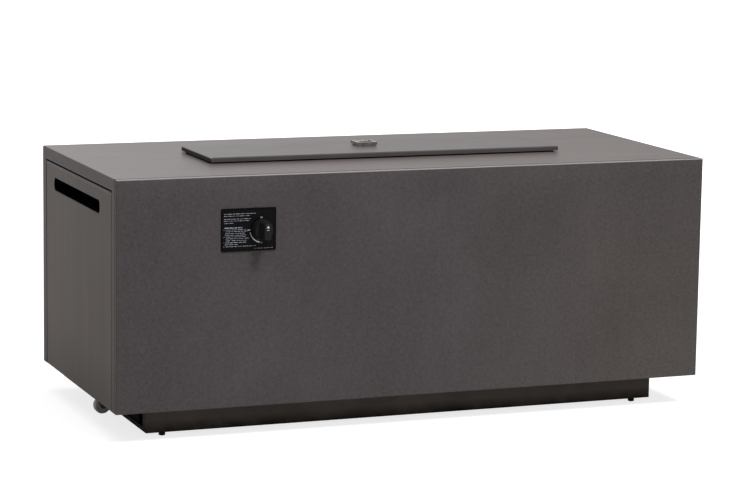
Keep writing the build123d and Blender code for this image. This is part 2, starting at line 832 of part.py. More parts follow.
# Folded tray: a high shelf over the caster, a low floor for the cylinder and full side walls.
with BuildPart() as tank_tray:
    with BuildSketch(Plane.XZ.offset(-tray_half)):
        span_rectangle(door_back, shelf_right, shelf_z, shelf_z + tray_sheet)
        span_rectangle(shelf_right - tray_sheet, shelf_right, tray_floor_z, shelf_z + tray_sheet)
        span_rectangle(shelf_right - tray_sheet, tray_right, tray_floor_z, tray_floor_top)
        span_rectangle(
            tray_right - tray_sheet, tray_right, tray_floor_z, tray_floor_z + tray_rear_height
        )
    extrude(amount=2 * tray_half)
    for side in (-1, 1):
        wall_plane = Plane.XZ.offset(-side * tray_half)
        with BuildSketch(wall_plane):
            span_rectangle(door_back, tray_right, shelf_z, tray_wall_top)
            span_rectangle(shelf_right - tray_sheet, tray_right, tray_floor_z, shelf_z)
        extrude(amount=side * tray_sheet)
    with BuildSketch(Plane.YZ.offset(door_back)):
        flange_half = tray_inner_half - upright_width - tray_flange_gap
        span_rectangle(-flange_half, flange_half, shelf_z, shelf_z + tray_front_flange)
    extrude(amount=tray_sheet)
    with BuildSketch(Plane.YZ.offset(door_back)):
        with Locations(*flange_bolts):
            Circle(bolt_radius + bolt_clearance)
    extrude(amount=tray_sheet, mode=Mode.SUBTRACT)
    with BuildSketch(Plane.XY.offset(tray_floor_z)):
        with Locations((tank_x, 0)):
            with PolarLocations(tray_vent_circle, tray_vents):
                Circle(tray_vent_radius)
    extrude(amount=tray_sheet, mode=Mode.SUBTRACT)
tank_tray.part.label = "tank_tray"
export_step(tank_tray.part, "parts/tank_tray.step")

# The cylinder's foot stands in this ring; a boss at the back carries the clamping screw.
screw_z = tray_floor_top + screw_boss_height
boss_end_y = ring_radius + ring_wall + screw_boss_length

with BuildPart() as tank_ring:
    with BuildSketch(Plane.XY.offset(tray_floor_top)):
        with Locations((tank_x, 0)):
            Circle(ring_radius + ring_wall)
    extrude(amount=ring_height)
    with BuildSketch(Plane.XZ.offset(-boss_end_y)):
        with Locations((tank_x, screw_z)):
            Circle(screw_boss_radius)
    extrude(amount=screw_boss_length + ring_wall)
    with BuildSketch(Plane.XY.offset(tray_floor_top)):
        with Locations((tank_x, 0)):
            Circle(ring_radius)
    extrude(amount=ring_height, mode=Mode.SUBTRACT)
    with BuildSketch(Plane.XZ.offset(-boss_end_y)):
        with Locations((tank_x, screw_z)):
            Circle(screw_radius + running_clearance)
    extrude(amount=screw_boss_length + 2 * ring_wall, mode=Mode.SUBTRACT)
tank_ring.part.label = "tank_ring"
export_step(tank_ring.part, "parts/tank_ring.step")

# Clamping screw, drawn back: its tip is inside the boss and it has its whole travel before it.
with BuildPart() as tank_screw:
    screw_tip_y = ring_radius + ring_wall / 2
    screw_head_y = boss_end_y + screw_travel + screw_head_gap
    with BuildSketch(Plane.XZ.offset(-screw_head_y)):
        with Locations((tank_x, screw_z)):
            Circle(screw_radius)
    extrude(amount=screw_head_y - screw_tip_y)
    with BuildSketch(Plane.XZ.offset(-screw_head_y)):
        with Locations((tank_x, screw_z)):
            Circle(screw_head_radius)
            with PolarLocations(screw_head_radius, screw_knurls):
                Circle(screw_knurl_radius, mode=Mode.SUBTRACT)
    extrude(amount=-screw_head_length)
tank_screw.part.label = "tank_screw"
export_step(tank_screw.part, "parts/tank_screw.step")

# ---------------------------------------------------------------- drawer slides


def channel_profile(side, web_y, tip_y, half_height, sheet, centre_z):
    """A U-channel section in the open YZ sketch: web at web_y, lips reaching to tip_y."""
    into = sheet if tip_y > web_y else -sheet
    span_rectangle(side * web_y, side * (web_y + into), centre_z - half_height, centre_z + half_height)
    for end in (-1, 1):
        lip_z = centre_z + end * half_height
        span_rectangle(side * web_y, side * tip_y, lip_z, lip_z - end * sheet)


def slide_members(web_y, tip_y, half_height):
    """The same member of the left and right telescopic slides."""
    with BuildPart() as members:
        with BuildSketch(Plane.YZ.offset(slide_left)):
            for side in (-1, 1):
                channel_profile(side, web_y, tip_y, half_height, slide_sheet, slide_centre_z)
        extrude(amount=slide_length)
    return members.part


with BuildPart() as slide_outer_members:
    add(slide_members(slide_web_y, slide_tip_y, slide_half))
slide_outer_members.part.label = "slide_outer_members"
export_step(slide_outer_members.part, "parts/slide_outer_members.step")

with BuildPart() as slide_middle_members:
    add(slide_members(slide_web_y - slide_step, slide_tip_y, slide_half - slide_step))
slide_middle_members.part.label = "slide_middle_members"
export_step(slide_middle_members.part, "parts/slide_middle_members.step")

with BuildPart() as slide_inner_members:
    add(slide_members(tray_half, slide_web_y - 2 * slide_step, slide_half - 2 * slide_step))
slide_inner_members.part.label = "slide_inner_members"
export_step(slide_inner_members.part, "parts/slide_inner_members.step")

# Channels welded between the posts carry the fixed slide members.
with BuildPart() as slide_channels:
    channel_centre_z = bottom_rail_top + channel_height / 2
    with BuildSketch(Plane.YZ.offset(frame_left)):
        for side in (-1, 1):
            channel_profile(
                side, slide_web_y, post_face_y, channel_height / 2, channel_sheet, channel_centre_z
            )
    extrude(amount=rib_post_x[0] - deck_clearance - frame_left)
slide_channels.part.label = "slide_channels"
export_step(slide_channels.part, "parts/slide_channels.step")

# ---------------------------------------------------------------- caster

with BuildPart() as caster_fork:
    with BuildSketch(Plane.XZ):
        with Locations((wheel_x, axle_z)):
            Circle(fork_cheek_end)
        with BuildLine():
            Polyline(
                (wheel_x - fork_cheek_end, axle_z),
                (wheel_x + fork_cheek_end, axle_z),
                (wheel_x + fork_cheek_top / 2, fork_plate_bottom),
                (wheel_x - fork_cheek_top / 2, fork_plate_bottom),
                close=True,
            )
        make_face()
    extrude(amount=fork_outer, both=True)
    with BuildSketch(Plane.XZ):
        span_rectangle(wheel_x - wheel_radius, wheel_x + wheel_radius, 0, fork_plate_bottom)
    extrude(amount=fork_inner, both=True, mode=Mode.SUBTRACT)
    with BuildSketch(Plane.XY.offset(fork_plate_bottom)):
        with Locations((wheel_x, 0)):
            RectangleRounded(fork_plate_length, fork_plate_width, fork_plate_corner)
    extrude(amount=fork_sheet)
    with BuildSketch(Plane.XZ):
        with Locations((wheel_x, axle_z)):
            Circle(axle_radius + running_clearance)
    extrude(amount=fork_outer, both=True, mode=Mode.SUBTRACT)
caster_fork.part.label = "caster_fork"
export_step(caster_fork.part, "parts/caster_fork.step")

with BuildPart() as caster_axle:
    with BuildSketch(Plane.XZ):
        with Locations((wheel_x, axle_z)):
            Circle(axle_radius)
    extrude(amount=fork_outer + axle_head_length, both=True)
    for side in (-1, 1):
        with BuildSketch(Plane.XZ.offset(side * fork_outer)):
            with Locations((wheel_x, axle_z)):
                Circle(axle_head_radius)
        extrude(amount=side * axle_head_length)
caster_axle.part.label = "caster_axle"
export_step(caster_axle.part, "parts/caster_axle.step")

with BuildPart() as caster_wheel:
    with BuildSketch(Plane.XZ):
        with Locations((wheel_x, axle_z)):
            Circle(wheel_radius)
    extrude(amount=wheel_width / 2, both=True)
    fillet(caster_wheel.edges().filter_by(GeomType.CIRCLE), radius=wheel_tread_radius)
    for side in (-1, 1):
        with BuildSketch(Plane.XZ.offset(side * wheel_width / 2)):
            with Locations((wheel_x, axle_z)):
                Circle(wheel_radius - wheel_rim_width)
                Circle(wheel_hub_radius, mode=Mode.SUBTRACT)
        extrude(amount=-side * wheel_recess, mode=Mode.SUBTRACT)
    with BuildSketch(Plane.XZ):
        with Locations((wheel_x, axle_z)):
            Circle(axle_radius + running_clearance)
    extrude(amount=wheel_width / 2, both=True, mode=Mode.SUBTRACT)
caster_wheel.part.label = "caster_wheel"
export_step(caster_wheel.part, "parts/caster_wheel.step")

# ---------------------------------------------------------------- fire pan and burner

sensor_points = [(igniter_x, 0), (thermocouple_x, 0)]

with BuildPart() as burner_pan:
    with BuildSketch(Plane.XY.offset(pan_bottom)):
        RectangleRounded(pan_length, pan_width, pan_corner)
    extrude(amount=casing_top - pan_bottom)
    with BuildSketch(Plane.XY.offset(casing_top)):
        RectangleRounded(
            pan_length + 2 * pan_flange, pan_width + 2 * pan_flange, pan_corner
        )
    extrude(amount=pan_sheet)
    with BuildSketch(Plane.XY.offset(pan_floor_top)):
        RectangleRounded(
            pan_length - 2 * pan_sheet, pan_width - 2 * pan_sheet, pan_corner - pan_sheet
        )
    extrude(amount=flange_top - pan_floor_top, mode=Mode.SUBTRACT)
    with BuildSketch(Plane.XY.offset(pan_bottom)):
        Circle(stub_radius + pan_hole_clearance)
        with Locations(*sensor_points):
            Circle(sensor_radius + pan_hole_clearance)
    extrude(amount=pan_sheet, mode=Mode.SUBTRACT)
burner_pan.part.label = "burner_pan"
export_step(burner_pan.part, "parts/burner_pan.step")

# Burner: two runs and two half-round ends make a loop, fed at a bar across its middle.
with BuildPart() as burner_tube:
    with BuildSketch(Plane.YZ.offset(-burner_run)):
        with Locations((-burner_half_width, burner_z), (burner_half_width, burner_z)):
            Circle(burner_radius)
    extrude(amount=2 * burner_run)
    for end in (-1, 1):
        end_axis = Axis((end * burner_run, 0, burner_z), (0, 0, 1))
        with BuildSketch(Plane.YZ.offset(end * burner_run)):
            with Locations((-end * burner_half_width, burner_z)):
                Circle(burner_radius)
        revolve(axis=end_axis, revolution_arc=180)
    with BuildSketch(Plane.XZ.offset(-burner_half_width)):
        with Locations((0, burner_z)):
            Circle(burner_radius)
    extrude(amount=2 * burner_half_width)
    with BuildSketch(Plane.XY.offset(pan_floor_top + burner_socket_gap)):
        Circle(burner_socket_radius)
    extrude(amount=burner_z - pan_floor_top - burner_socket_gap)
    with BuildSketch(Plane.XY.offset(burner_z + burner_radius - port_depth)):
        port_pitch = 2 * (burner_run - port_from_end) / (ports_per_run - 1)
        with GridLocations(port_pitch, 2 * burner_half_width, ports_per_run, 2):
            Circle(port_radius)
    extrude(amount=port_depth, mode=Mode.SUBTRACT)
burner_tube.part.label = "burner_tube"
export_step(burner_tube.part, "parts/burner_tube.step")

# Two hat-section saddles hold the loop above the pan floor.
with BuildPart() as burner_brackets:
    for end in (-1, 1):
        saddle_left = end * burner_bracket_x - burner_bracket_width / 2
        saddle_top = burner_bottom - burner_bracket_gap
        with BuildSketch(Plane.YZ.offset(saddle_left)):
            span_rectangle(
                -burner_bracket_half, burner_bracket_half, saddle_top - burner_bracket_sheet, saddle_top
            )
            for side in (-1, 1):
                leg_y = side * burner_bracket_half
                foot_y_end = side * (burner_bracket_half + burner_bracket_foot)
                span_rectangle(leg_y, leg_y - side * burner_bracket_sheet, pan_floor_top, saddle_top)
                span_rectangle(
                    leg_y, foot_y_end, pan_floor_top, pan_floor_top + burner_bracket_sheet
                )
        extrude(amount=burner_bracket_width)
burner_brackets.part.label = "burner_brackets"
export_step(burner_brackets.part, "parts/burner_brackets.step")

# Air mixer: a stub up through the pan floor, an elbow, and a mixing tube with two air windows.
with BuildPart() as air_mixer:
    with BuildSketch(Plane.XY.offset(mixer_z)):
        Circle(stub_radius)
    extrude(amount=pan_floor_top + burner_socket_gap - mixer_z)
    with BuildSketch(Plane.XY.offset(mixer_z - mixer_radius)):
        Circle(mixer_radius)
    extrude(amount=2 * mixer_radius)
    with BuildSketch(Plane.XZ):
        with Locations((0, mixer_z)):
            Circle(mixer_radius)
    extrude(amount=mixer_length)
    window_y = mixer_length - mixer_window_from_end
    with BuildSketch(Plane.XZ.offset(window_y)):
        with Locations((0, mixer_z)):
            Circle(mixer_throat_radius)
    extrude(amount=mixer_window_length, mode=Mode.SUBTRACT)
    with BuildSketch(Plane.YZ.offset(-mixer_radius)):
        with Locations((-window_y - mixer_window_length / 2, mixer_z)):
            Rectangle(mixer_window_length, mixer_window_height)
    extrude(amount=2 * mixer_radius, mode=Mode.SUBTRACT)
air_mixer.part.label = "air_mixer"
export_step(air_mixer.part, "parts/air_mixer.step")

# Rigid gas pipe from the valve's outlet to the mixer, in one level bend.
with BuildPart() as gas_pipe:
    with BuildLine() as pipe_route:
        FilletPolyline(
            (valve_right_x, -pipe_y, knob_z),
            (0, -pipe_y, knob_z),
            (0, -mixer_end_y, knob_z),
            radius=pipe_bend_radius,
        )
    with BuildSketch(Plane(origin=(valve_right_x, -pipe_y, knob_z), z_dir=(1, 0, 0))):
        Circle(pipe_radius)
    sweep()
gas_pipe.part.label = "gas_pipe"
export_step(gas_pipe.part, "parts/gas_pipe.step")

with BuildPart() as pipe_nuts:
    with BuildSketch(Plane.YZ.offset(valve_right_x)):
        with Locations((-pipe_y, knob_z)):
            RegularPolygon(pipe_nut_width / 2, 6, major_radius=False)
            Circle(pipe_radius + running_clearance, mode=Mode.SUBTRACT)
    extrude(amount=pipe_nut_length)
    with BuildSketch(Plane.XZ.offset(mixer_end_y)):
        with Locations((0, knob_z)):
            RegularPolygon(pipe_nut_width / 2, 6, major_radius=False)
            Circle(pipe_radius + running_clearance, mode=Mode.SUBTRACT)
    extrude(amount=pipe_nut_length)
pipe_nuts.part.label = "pipe_nuts"
export_step(pipe_nuts.part, "parts/pipe_nuts.step")


def pan_sensor(x, tip_radius, tip_length):
    """A rod through the pan floor, held by a flange on it, with a thinner tip."""
    with BuildPart() as sensor:
        with BuildSketch(Plane.XY.offset(pan_bottom - sensor_tail)):
            with Locations((x, 0)):
                Circle(sensor_radius)
        extrude(amount=sensor_tail + pan_sheet + sensor_length)
        with BuildSketch(Plane.XY.offset(pan_floor_top)):
            with Locations((x, 0)):
                Circle(sensor_flange_radius)
        extrude(amount=sensor_flange_height)
        with BuildSketch(Plane.XY.offset(pan_floor_top + sensor_length)):
            with Locations((x, 0)):
                Circle(tip_radius)
        extrude(amount=tip_length)
    return sensor.part


with BuildPart() as igniter_electrode:
    add(pan_sensor(igniter_x, electrode_radius, electrode_length))
igniter_electrode.part.label = "igniter_electrode"
export_step(igniter_electrode.part, "parts/igniter_electrode.step")

with BuildPart() as thermocouple:
    add(pan_sensor(thermocouple_x, thermocouple_tip_radius, electrode_length))
thermocouple.part.label = "thermocouple"
export_step(thermocouple.part, "parts/thermocouple.step")

# Heat shield between the pan and the cylinder, with folded edges, on four hangers.
hanger_points = [(shield_x + i * hanger_x, j * hanger_y) for i in (-1, 1) for j in (-1, 1)]

with BuildPart() as heat_shield:
    with BuildSketch(Plane.XY.offset(shield_z - shield_lip)):
        with Locations((shield_x, 0)):
            Rectangle(shield_length, shield_width)
    extrude(amount=shield_lip)
    with BuildSketch(Plane.XY.offset(shield_z - shield_lip)):
        with Locations((shield_x, 0)):
            Rectangle(shield_length - 2 * shield_sheet, shield_width - 2 * shield_sheet)
    extrude(amount=shield_lip - shield_sheet, mode=Mode.SUBTRACT)
heat_shield.part.label = "heat_shield"
export_step(heat_shield.part, "parts/heat_shield.step")

with BuildPart() as shield_hangers:
    with BuildSketch(Plane.XY.offset(shield_z)):
        with Locations(*hanger_points):
            Circle(hanger_radius)
    extrude(amount=slab_underside - shield_z)
shield_hangers.part.label = "shield_hangers"
export_step(shield_hangers.part, "parts/shield_hangers.step")

# ---------------------------------------------------------------- controls

with BuildPart() as control_plate:
    with BuildSketch(Plane.XZ.offset(half_depth)):
        with Locations((control_x, control_z)):
            RectangleRounded(control_length, control_height, control_corner)
    extrude(amount=control_sheet)
    fillet(control_plate.faces().sort_by(Axis.Y)[0].edges(), radius=control_edge)
    with BuildSketch(Plane.XZ.offset(plate_front_y)):
        with Locations((control_x, control_z)):
            RectangleRounded(
                control_length - 2 * control_rim,
                control_height - 2 * control_rim,
                control_recess_corner,
            )
    extrude(amount=-control_recess, mode=Mode.SUBTRACT)
    with BuildSketch(Plane.XZ.offset(half_depth)):
        with Locations((knob_x, knob_z)):
            Circle(neck_radius + neck_clearance)
    extrude(amount=control_sheet, mode=Mode.SUBTRACT)
control_plate.part.label = "control_plate"
export_step(control_plate.part, "parts/control_plate.step")

with BuildPart() as valve_bracket:
    with BuildSketch(Plane.XZ.offset(valve_front_y)):
        with Locations((control_x, control_z)):
            Rectangle(control_hole_length + 2 * bracket_margin, control_hole_height + 2 * bracket_margin)
        with Locations((knob_x, knob_z)):
            Circle(neck_radius + neck_clearance, mode=Mode.SUBTRACT)
    extrude(amount=bracket_sheet)
valve_bracket.part.label = "valve_bracket"
export_step(valve_bracket.part, "parts/valve_bracket.step")

# Valve: a block behind the bracket, a neck through the plate, and a bore for the turning plug.
with BuildPart() as gas_valve:
    with BuildSketch(Plane.XZ.offset(valve_back_y)):
        with Locations((knob_x, knob_z)):
            Rectangle(valve_width, valve_height)
    extrude(amount=valve_depth)
    chamfer(gas_valve.edges().filter_by(Axis.Y), length=valve_edge)
    with BuildSketch(Plane.XZ.offset(valve_front_y)):
        with Locations((knob_x, knob_z)):
            Circle(neck_radius)
    extrude(amount=half_depth + control_sheet - control_recess - valve_front_y)
    with BuildSketch(Plane.XZ.offset(plug_bore_y)):
        with Locations((knob_x, knob_z)):
            Circle(plug_radius + running_clearance)
    extrude(amount=-plug_bore_depth, mode=Mode.SUBTRACT)
    with BuildSketch(Plane.XZ.offset(plug_bore_y)):
        with Locations((knob_x, knob_z)):
            Circle(stem_radius + stem_clearance)
    extrude(amount=knob_front_y - plug_bore_y, mode=Mode.SUBTRACT)
gas_valve.part.label = "gas_valve"
export_step(gas_valve.part, "parts/gas_valve.step")

# Flared inlet that the hose of the gas regulator screws on, pointing down.
valve_bottom_z = knob_z - valve_height / 2
inlet_y = (valve_front_y + valve_back_y) / 2

with BuildPart() as inlet_fitting:
    with BuildSketch(Plane.XY.offset(valve_bottom_z)):
        with Locations((knob_x, -inlet_y)):
            RegularPolygon(inlet_hex_width / 2, 6, major_radius=False)
    extrude(amount=-inlet_hex_height)
    with BuildSketch(Plane.XY.offset(valve_bottom_z - inlet_hex_height)):
        with Locations((knob_x, -inlet_y)):
            Circle(inlet_radius)
    extrude(amount=-inlet_length)
    with BuildSketch(Plane.XY.offset(valve_bottom_z - inlet_hex_height - inlet_length)):
        with Locations((knob_x, -inlet_y)):
            Circle(inlet_bore_radius)
    extrude(amount=inlet_length, mode=Mode.SUBTRACT)
inlet_fitting.part.label = "inlet_fitting"
export_step(inlet_fitting.part, "parts/inlet_fitting.step")


def stem_profile(radius, flat):
    """A D-shaped shaft section in the open sketch, its flat on the upper side."""
    Circle(radius)
    with Locations((0, flat + radius / 2)):
        Rectangle(2 * radius, radius, mode=Mode.SUBTRACT)


# Turning plug inside the valve; the knob's stem slides in its D-shaped hole.
plug_front_y = plug_bore_y - plug_end_gap
stem_hole_depth = plug_length - plug_bottom
stem_reach = plug_front_y - stem_hole_depth + stem_end_gap

with BuildPart() as valve_plug:
    with BuildSketch(Plane.XZ.offset(plug_front_y)):
        with Locations((knob_x, knob_z)):
            Circle(plug_radius)
    extrude(amount=-plug_length)
    with BuildSketch(Plane.XZ.offset(plug_front_y)):
        with Locations((knob_x, knob_z)):
            stem_profile(stem_radius + running_clearance, stem_flat + running_clearance)
    extrude(amount=-stem_hole_depth, mode=Mode.SUBTRACT)
valve_plug.part.label = "valve_plug"
export_step(valve_plug.part, "parts/valve_plug.step")

stem_front_y = knob_back_y + stem_in_knob

with BuildPart() as valve_stem:
    with BuildSketch(Plane.XZ.offset(stem_reach)):
        with Locations((knob_x, knob_z)):
            stem_profile(stem_radius, stem_flat)
    extrude(amount=stem_front_y - stem_reach)
valve_stem.part.label = "valve_stem"
export_step(valve_stem.part, "parts/valve_stem.step")

# Knob: thin round skirt, a cone rising from it, and a tall grip bar across its face whose ends
# follow a circle and whose sides draw in towards the front.
with BuildPart() as knob:
    with BuildSketch(Plane.XY.offset(knob_z)):
        with BuildLine():
            Polyline(
                (knob_x, -knob_back_y),
                (knob_x + knob_skirt_radius, -knob_back_y),
                (knob_x + knob_skirt_radius, -knob_back_y - knob_skirt_height),
                (knob_x + knob_face_radius, -knob_face_y),
                (knob_x, -knob_face_y),
                close=True,
            )
        make_face()
    revolve(axis=Axis((knob_x, 0, knob_z), (0, 1, 0)))
    fillet(knob.edges().filter_by(GeomType.CIRCLE), radius=knob_skirt_edge)
    with BuildSketch(Plane.XZ.offset(knob_face_y)):
        with Locations((knob_x, knob_z)):
            Circle(knob_grip_radius)
            Rectangle(knob_grip_width, 2 * knob_grip_radius, mode=Mode.INTERSECT)
    extrude(amount=knob_grip_height, taper=knob_grip_taper)
    new_edges = knob.edges(Select.LAST)
    grip_corners = new_edges.filter_by(lambda edge: edge.bounding_box().size.Y > knob_grip_height / 2)
    fillet(grip_corners, radius=knob_grip_corner)
    fillet(knob.faces().sort_by(Axis.Y)[0].edges(), radius=knob_grip_edge)
    with BuildSketch(Plane.XZ.offset(knob_back_y)):
        with Locations((knob_x, knob_z)):
            stem_profile(stem_radius, stem_flat)
    extrude(amount=stem_in_knob, mode=Mode.SUBTRACT)
knob.part.label = "knob"
export_step(knob.part, "parts/knob.step")

# ---------------------------------------------------------------- lid

# Folded cover plate with a skirt that stands clear of the table top all round.
with BuildPart() as lid_plate:
    with BuildSketch(Plane.XY.offset(lid_bottom)):
        RectangleRounded(lid_length, lid_width, lid_corner)
    extrude(amount=lid_edge)
    fillet(lid_plate.faces().sort_by(Axis.Z)[-1].edges(), radius=lid_bend)
    with BuildSketch(Plane.XY.offset(lid_bottom)):
        RectangleRounded(lid_length - 2 * lid_sheet, lid_width - 2 * lid_sheet, lid_corner - lid_sheet)
    extrude(amount=lid_edge - lid_sheet, mode=Mode.SUBTRACT)
    with BuildSketch(Plane.XY.offset(lid_underside)):
        with Locations(*pull_screw_points):
            Circle(pull_screw_radius + bolt_clearance)
    extrude(amount=lid_sheet, mode=Mode.SUBTRACT)
lid_plate.part.label = "lid_plate"
export_step(lid_plate.part, "parts/lid_plate.step")

# Folded stiffener for the pull, and four strips that drop into the pan and keep the lid in place.
# The strips stop short of each other at the corners.
lip_length = pan_length - 2 * (pan_sheet + lid_lip_clearance)
lip_width = pan_width - 2 * (pan_sheet + lid_lip_clearance)

with BuildPart() as lid_stiffener:
    with BuildSketch(Plane.YZ.offset(-stiffener_length / 2)):
        span_rectangle(
            -stiffener_width / 2, stiffener_width / 2, lid_underside - stiffener_sheet, lid_underside
        )
        for side in (-1, 1):
            span_rectangle(
                side * stiffener_width / 2,
                side * (stiffener_width / 2 - stiffener_sheet),
                lid_underside - stiffener_height,
                lid_underside,
            )
    extrude(amount=stiffener_length)
    with BuildSketch(Plane.XY.offset(lid_underside - stiffener_sheet)):
        with Locations(*pull_screw_points):
            Circle(pull_screw_radius + bolt_clearance)
    extrude(amount=stiffener_sheet, mode=Mode.SUBTRACT)
    with BuildSketch(Plane.XY.offset(lid_underside)):
        with GridLocations(0, lip_width - stiffener_sheet, 1, 2):
            Rectangle(lip_length - 2 * lid_lip_gap, stiffener_sheet)
        with GridLocations(lip_length - stiffener_sheet, 0, 2, 1):
            Rectangle(stiffener_sheet, lip_width - 2 * lid_lip_gap)
    extrude(amount=-(lid_underside - casing_top + lid_lip_drop))
lid_stiffener.part.label = "lid_stiffener"
export_step(lid_stiffener.part, "parts/lid_stiffener.step")

# Rubber blocks under the lid stand on the pan's flange and make the gap round the lid.
bumper_y = pan_width / 2 + pan_flange / 2

with BuildPart() as lid_bumpers:
    with BuildSketch(Plane.XY.offset(flange_top)):
        with GridLocations(2 * bumper_x, 2 * bumper_y, 2, 2):
            Rectangle(bumper_length, bumper_width)
    extrude(amount=lid_underside - flange_top)
lid_bumpers.part.label = "lid_bumpers"
export_step(lid_bumpers.part, "parts/lid_bumpers.step")

# ---------------------------------------------------------------- lid pull

knuckle_radius = pull_thickness / 2

# Base plate of the pull with its hinge knuckle at the back and a rest for the ring in the middle.
with BuildPart() as pull_base:
    with BuildSketch(Plane.XY.offset(lid_top)):
        with Locations((pull_x, pull_y)):
            RectangleRounded(
                pull_width - 2 * pull_base_margin, pull_depth - 2 * pull_base_margin, pull_corner
            )
    extrude(amount=pull_base_sheet)
    with BuildSketch(Plane.YZ.offset(pull_x - knuckle_width / 2)):
        with Locations((hinge_y, hinge_z)):
            Circle(knuckle_radius)
        span_rectangle(hinge_y - knuckle_radius / 2, hinge_y + knuckle_radius / 2, lid_top, hinge_z)
    extrude(amount=knuckle_width)
    with BuildSketch(Plane.YZ.offset(pull_x - knuckle_width / 2)):
        with Locations((hinge_y, hinge_z)):
            Circle(pull_pin_radius + pull_pin_press)
    extrude(amount=knuckle_width, mode=Mode.SUBTRACT)
    with BuildSketch(Plane.XY.offset(base_top)):
        with Locations((pull_x, pull_y + pull_nub_offset)):
            Circle(pull_nub_radius)
    extrude(amount=pull_nub_height)
    with BuildSketch(Plane.XY.offset(lid_top)):
        with Locations(*pull_screw_points):
            Circle(pull_screw_radius + bolt_clearance)
    extrude(amount=pull_base_sheet, mode=Mode.SUBTRACT)
pull_base.part.label = "pull_base"
export_step(pull_base.part, "parts/pull_base.step")

with BuildPart() as pull_pin:
    with BuildSketch(Plane.YZ.offset(pull_x - pull_pin_length / 2)):
        with Locations((hinge_y, hinge_z)):
            Circle(pull_pin_radius)
    extrude(amount=pull_pin_length)
pull_pin.part.label = "pull_pin"
export_step(pull_pin.part, "parts/pull_pin.step")

with BuildPart() as pull_screws:
    with BuildSketch(Plane.XY.offset(lid_underside - stiffener_sheet)):
        with Locations(*pull_screw_points):
            Circle(pull_screw_radius)
    extrude(amount=base_top - lid_underside + stiffener_sheet)
    with BuildSketch(Plane.XY.offset(base_top)):
        with Locations(*pull_screw_points):
            Circle(pull_screw_head_radius)
    extrude(amount=pull_screw_head_height)
pull_screws.part.label = "pull_screws"
export_step(pull_screws.part, "parts/pull_screws.step")

# Flat rectangular ring, hinged at the back on the pin, that lies down round the base.
with BuildPart() as pull_ring:
    with BuildSketch(Plane.XY.offset(ring_bottom)):
        span_rectangle(
            pull_x - pull_width / 2, pull_x + pull_width / 2, ring_front_y, hinge_y
        )
        span_rectangle(
            pull_x - pull_width / 2 + pull_bar,
            pull_x + pull_width / 2 - pull_bar,
            ring_front_y + pull_front_bar,
            hinge_y,
            mode=Mode.SUBTRACT,
        )
    extrude(amount=pull_thickness)
    front_corners = pull_ring.edges().filter_by(Axis.Z).group_by(Axis.Y)[0]
    fillet(front_corners, radius=pull_corner)
    ring_rim = pull_ring.faces().sort_by(Axis.Z)[-1].outer_wire().edges().group_by(Axis.Y)[0]
    chamfer(ring_rim, length=pull_chamfer)
    for side in (-1, 1):
        barrel_start = pull_x + side * (knuckle_width / 2 + knuckle_gap)
        barrel_length = pull_width / 2 - knuckle_width / 2 - knuckle_gap
        with BuildSketch(Plane.YZ.offset(barrel_start)):
            with Locations((hinge_y, hinge_z)):
                Circle(knuckle_radius)
        extrude(amount=side * barrel_length)
        with BuildSketch(Plane.YZ.offset(barrel_start)):
            with Locations((hinge_y, hinge_z)):
                Circle(pull_pin_radius + running_clearance)
        extrude(
            amount=side * (pull_pin_length / 2 + knuckle_gap - knuckle_width / 2), mode=Mode.SUBTRACT
        )
pull_ring.part.label = "pull_ring"
export_step(pull_ring.part, "parts/pull_ring.step")
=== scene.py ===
import bpy
import math
import numpy as np
from mathutils import Matrix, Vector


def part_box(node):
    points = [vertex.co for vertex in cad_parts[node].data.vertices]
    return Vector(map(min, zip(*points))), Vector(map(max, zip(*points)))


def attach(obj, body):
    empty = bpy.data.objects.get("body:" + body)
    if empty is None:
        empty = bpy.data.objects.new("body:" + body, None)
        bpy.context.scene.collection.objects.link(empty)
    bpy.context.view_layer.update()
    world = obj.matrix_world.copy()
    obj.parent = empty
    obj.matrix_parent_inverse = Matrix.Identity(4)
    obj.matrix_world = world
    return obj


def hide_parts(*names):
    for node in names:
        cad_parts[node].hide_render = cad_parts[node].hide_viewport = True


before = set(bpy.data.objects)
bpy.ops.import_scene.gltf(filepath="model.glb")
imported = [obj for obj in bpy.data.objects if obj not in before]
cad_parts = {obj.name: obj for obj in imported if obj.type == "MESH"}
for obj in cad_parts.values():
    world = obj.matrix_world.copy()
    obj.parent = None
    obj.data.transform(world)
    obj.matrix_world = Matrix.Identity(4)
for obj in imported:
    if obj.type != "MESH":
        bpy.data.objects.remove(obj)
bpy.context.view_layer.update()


# ------------------------------------------------------------------------------------------------
# Steel frame: posts, rails and crossbars of 25 mm square tube, welded, with a folded base deck.
# The whole frame is powder coated black, so it has the coat's fine ripple and a few pale rubs on
# its edges. The panels hang on it and the plinth is screwed under it.

def put(tree, kind, feeds=None, **settings):
    """Adds one node: settings are its properties, feeds fill its sockets with values or outputs."""
    node = tree.nodes.new(kind)
    for key, value in settings.items():
        setattr(node, key, value)
    for key, value in (feeds or {}).items():
        if isinstance(value, bpy.types.NodeSocket):
            tree.links.new(value, node.inputs[key])
        else:
            node.inputs[key].default_value = value
    return node


def calc(tree, operation, first, second):
    """The result of one Math node on two numbers or outputs."""
    return put(tree, "ShaderNodeMath", {0: first, 1: second}, operation=operation).outputs[0]


def vector_calc(tree, operation, first, second=(0, 0, 0)):
    """The result of one Vector Math node: a number for a dot product or a length."""
    node = put(tree, "ShaderNodeVectorMath", {0: first, 1: second}, operation=operation)
    return node.outputs["Value" if operation in ("DOT_PRODUCT", "LENGTH") else "Vector"]


def remap(tree, value, low, high, start=0.0, end=1.0):
    """start where value is low or less, end where it is high or more, straight in between."""
    node = put(tree, "ShaderNodeMapRange", {
        "Value": value, "From Min": low, "From Max": high, "To Min": start, "To Max": end})
    return node.outputs[0]


def position(tree):
    """The place on the object, in metres."""
    return put(tree, "ShaderNodeTexCoord").outputs["Object"]


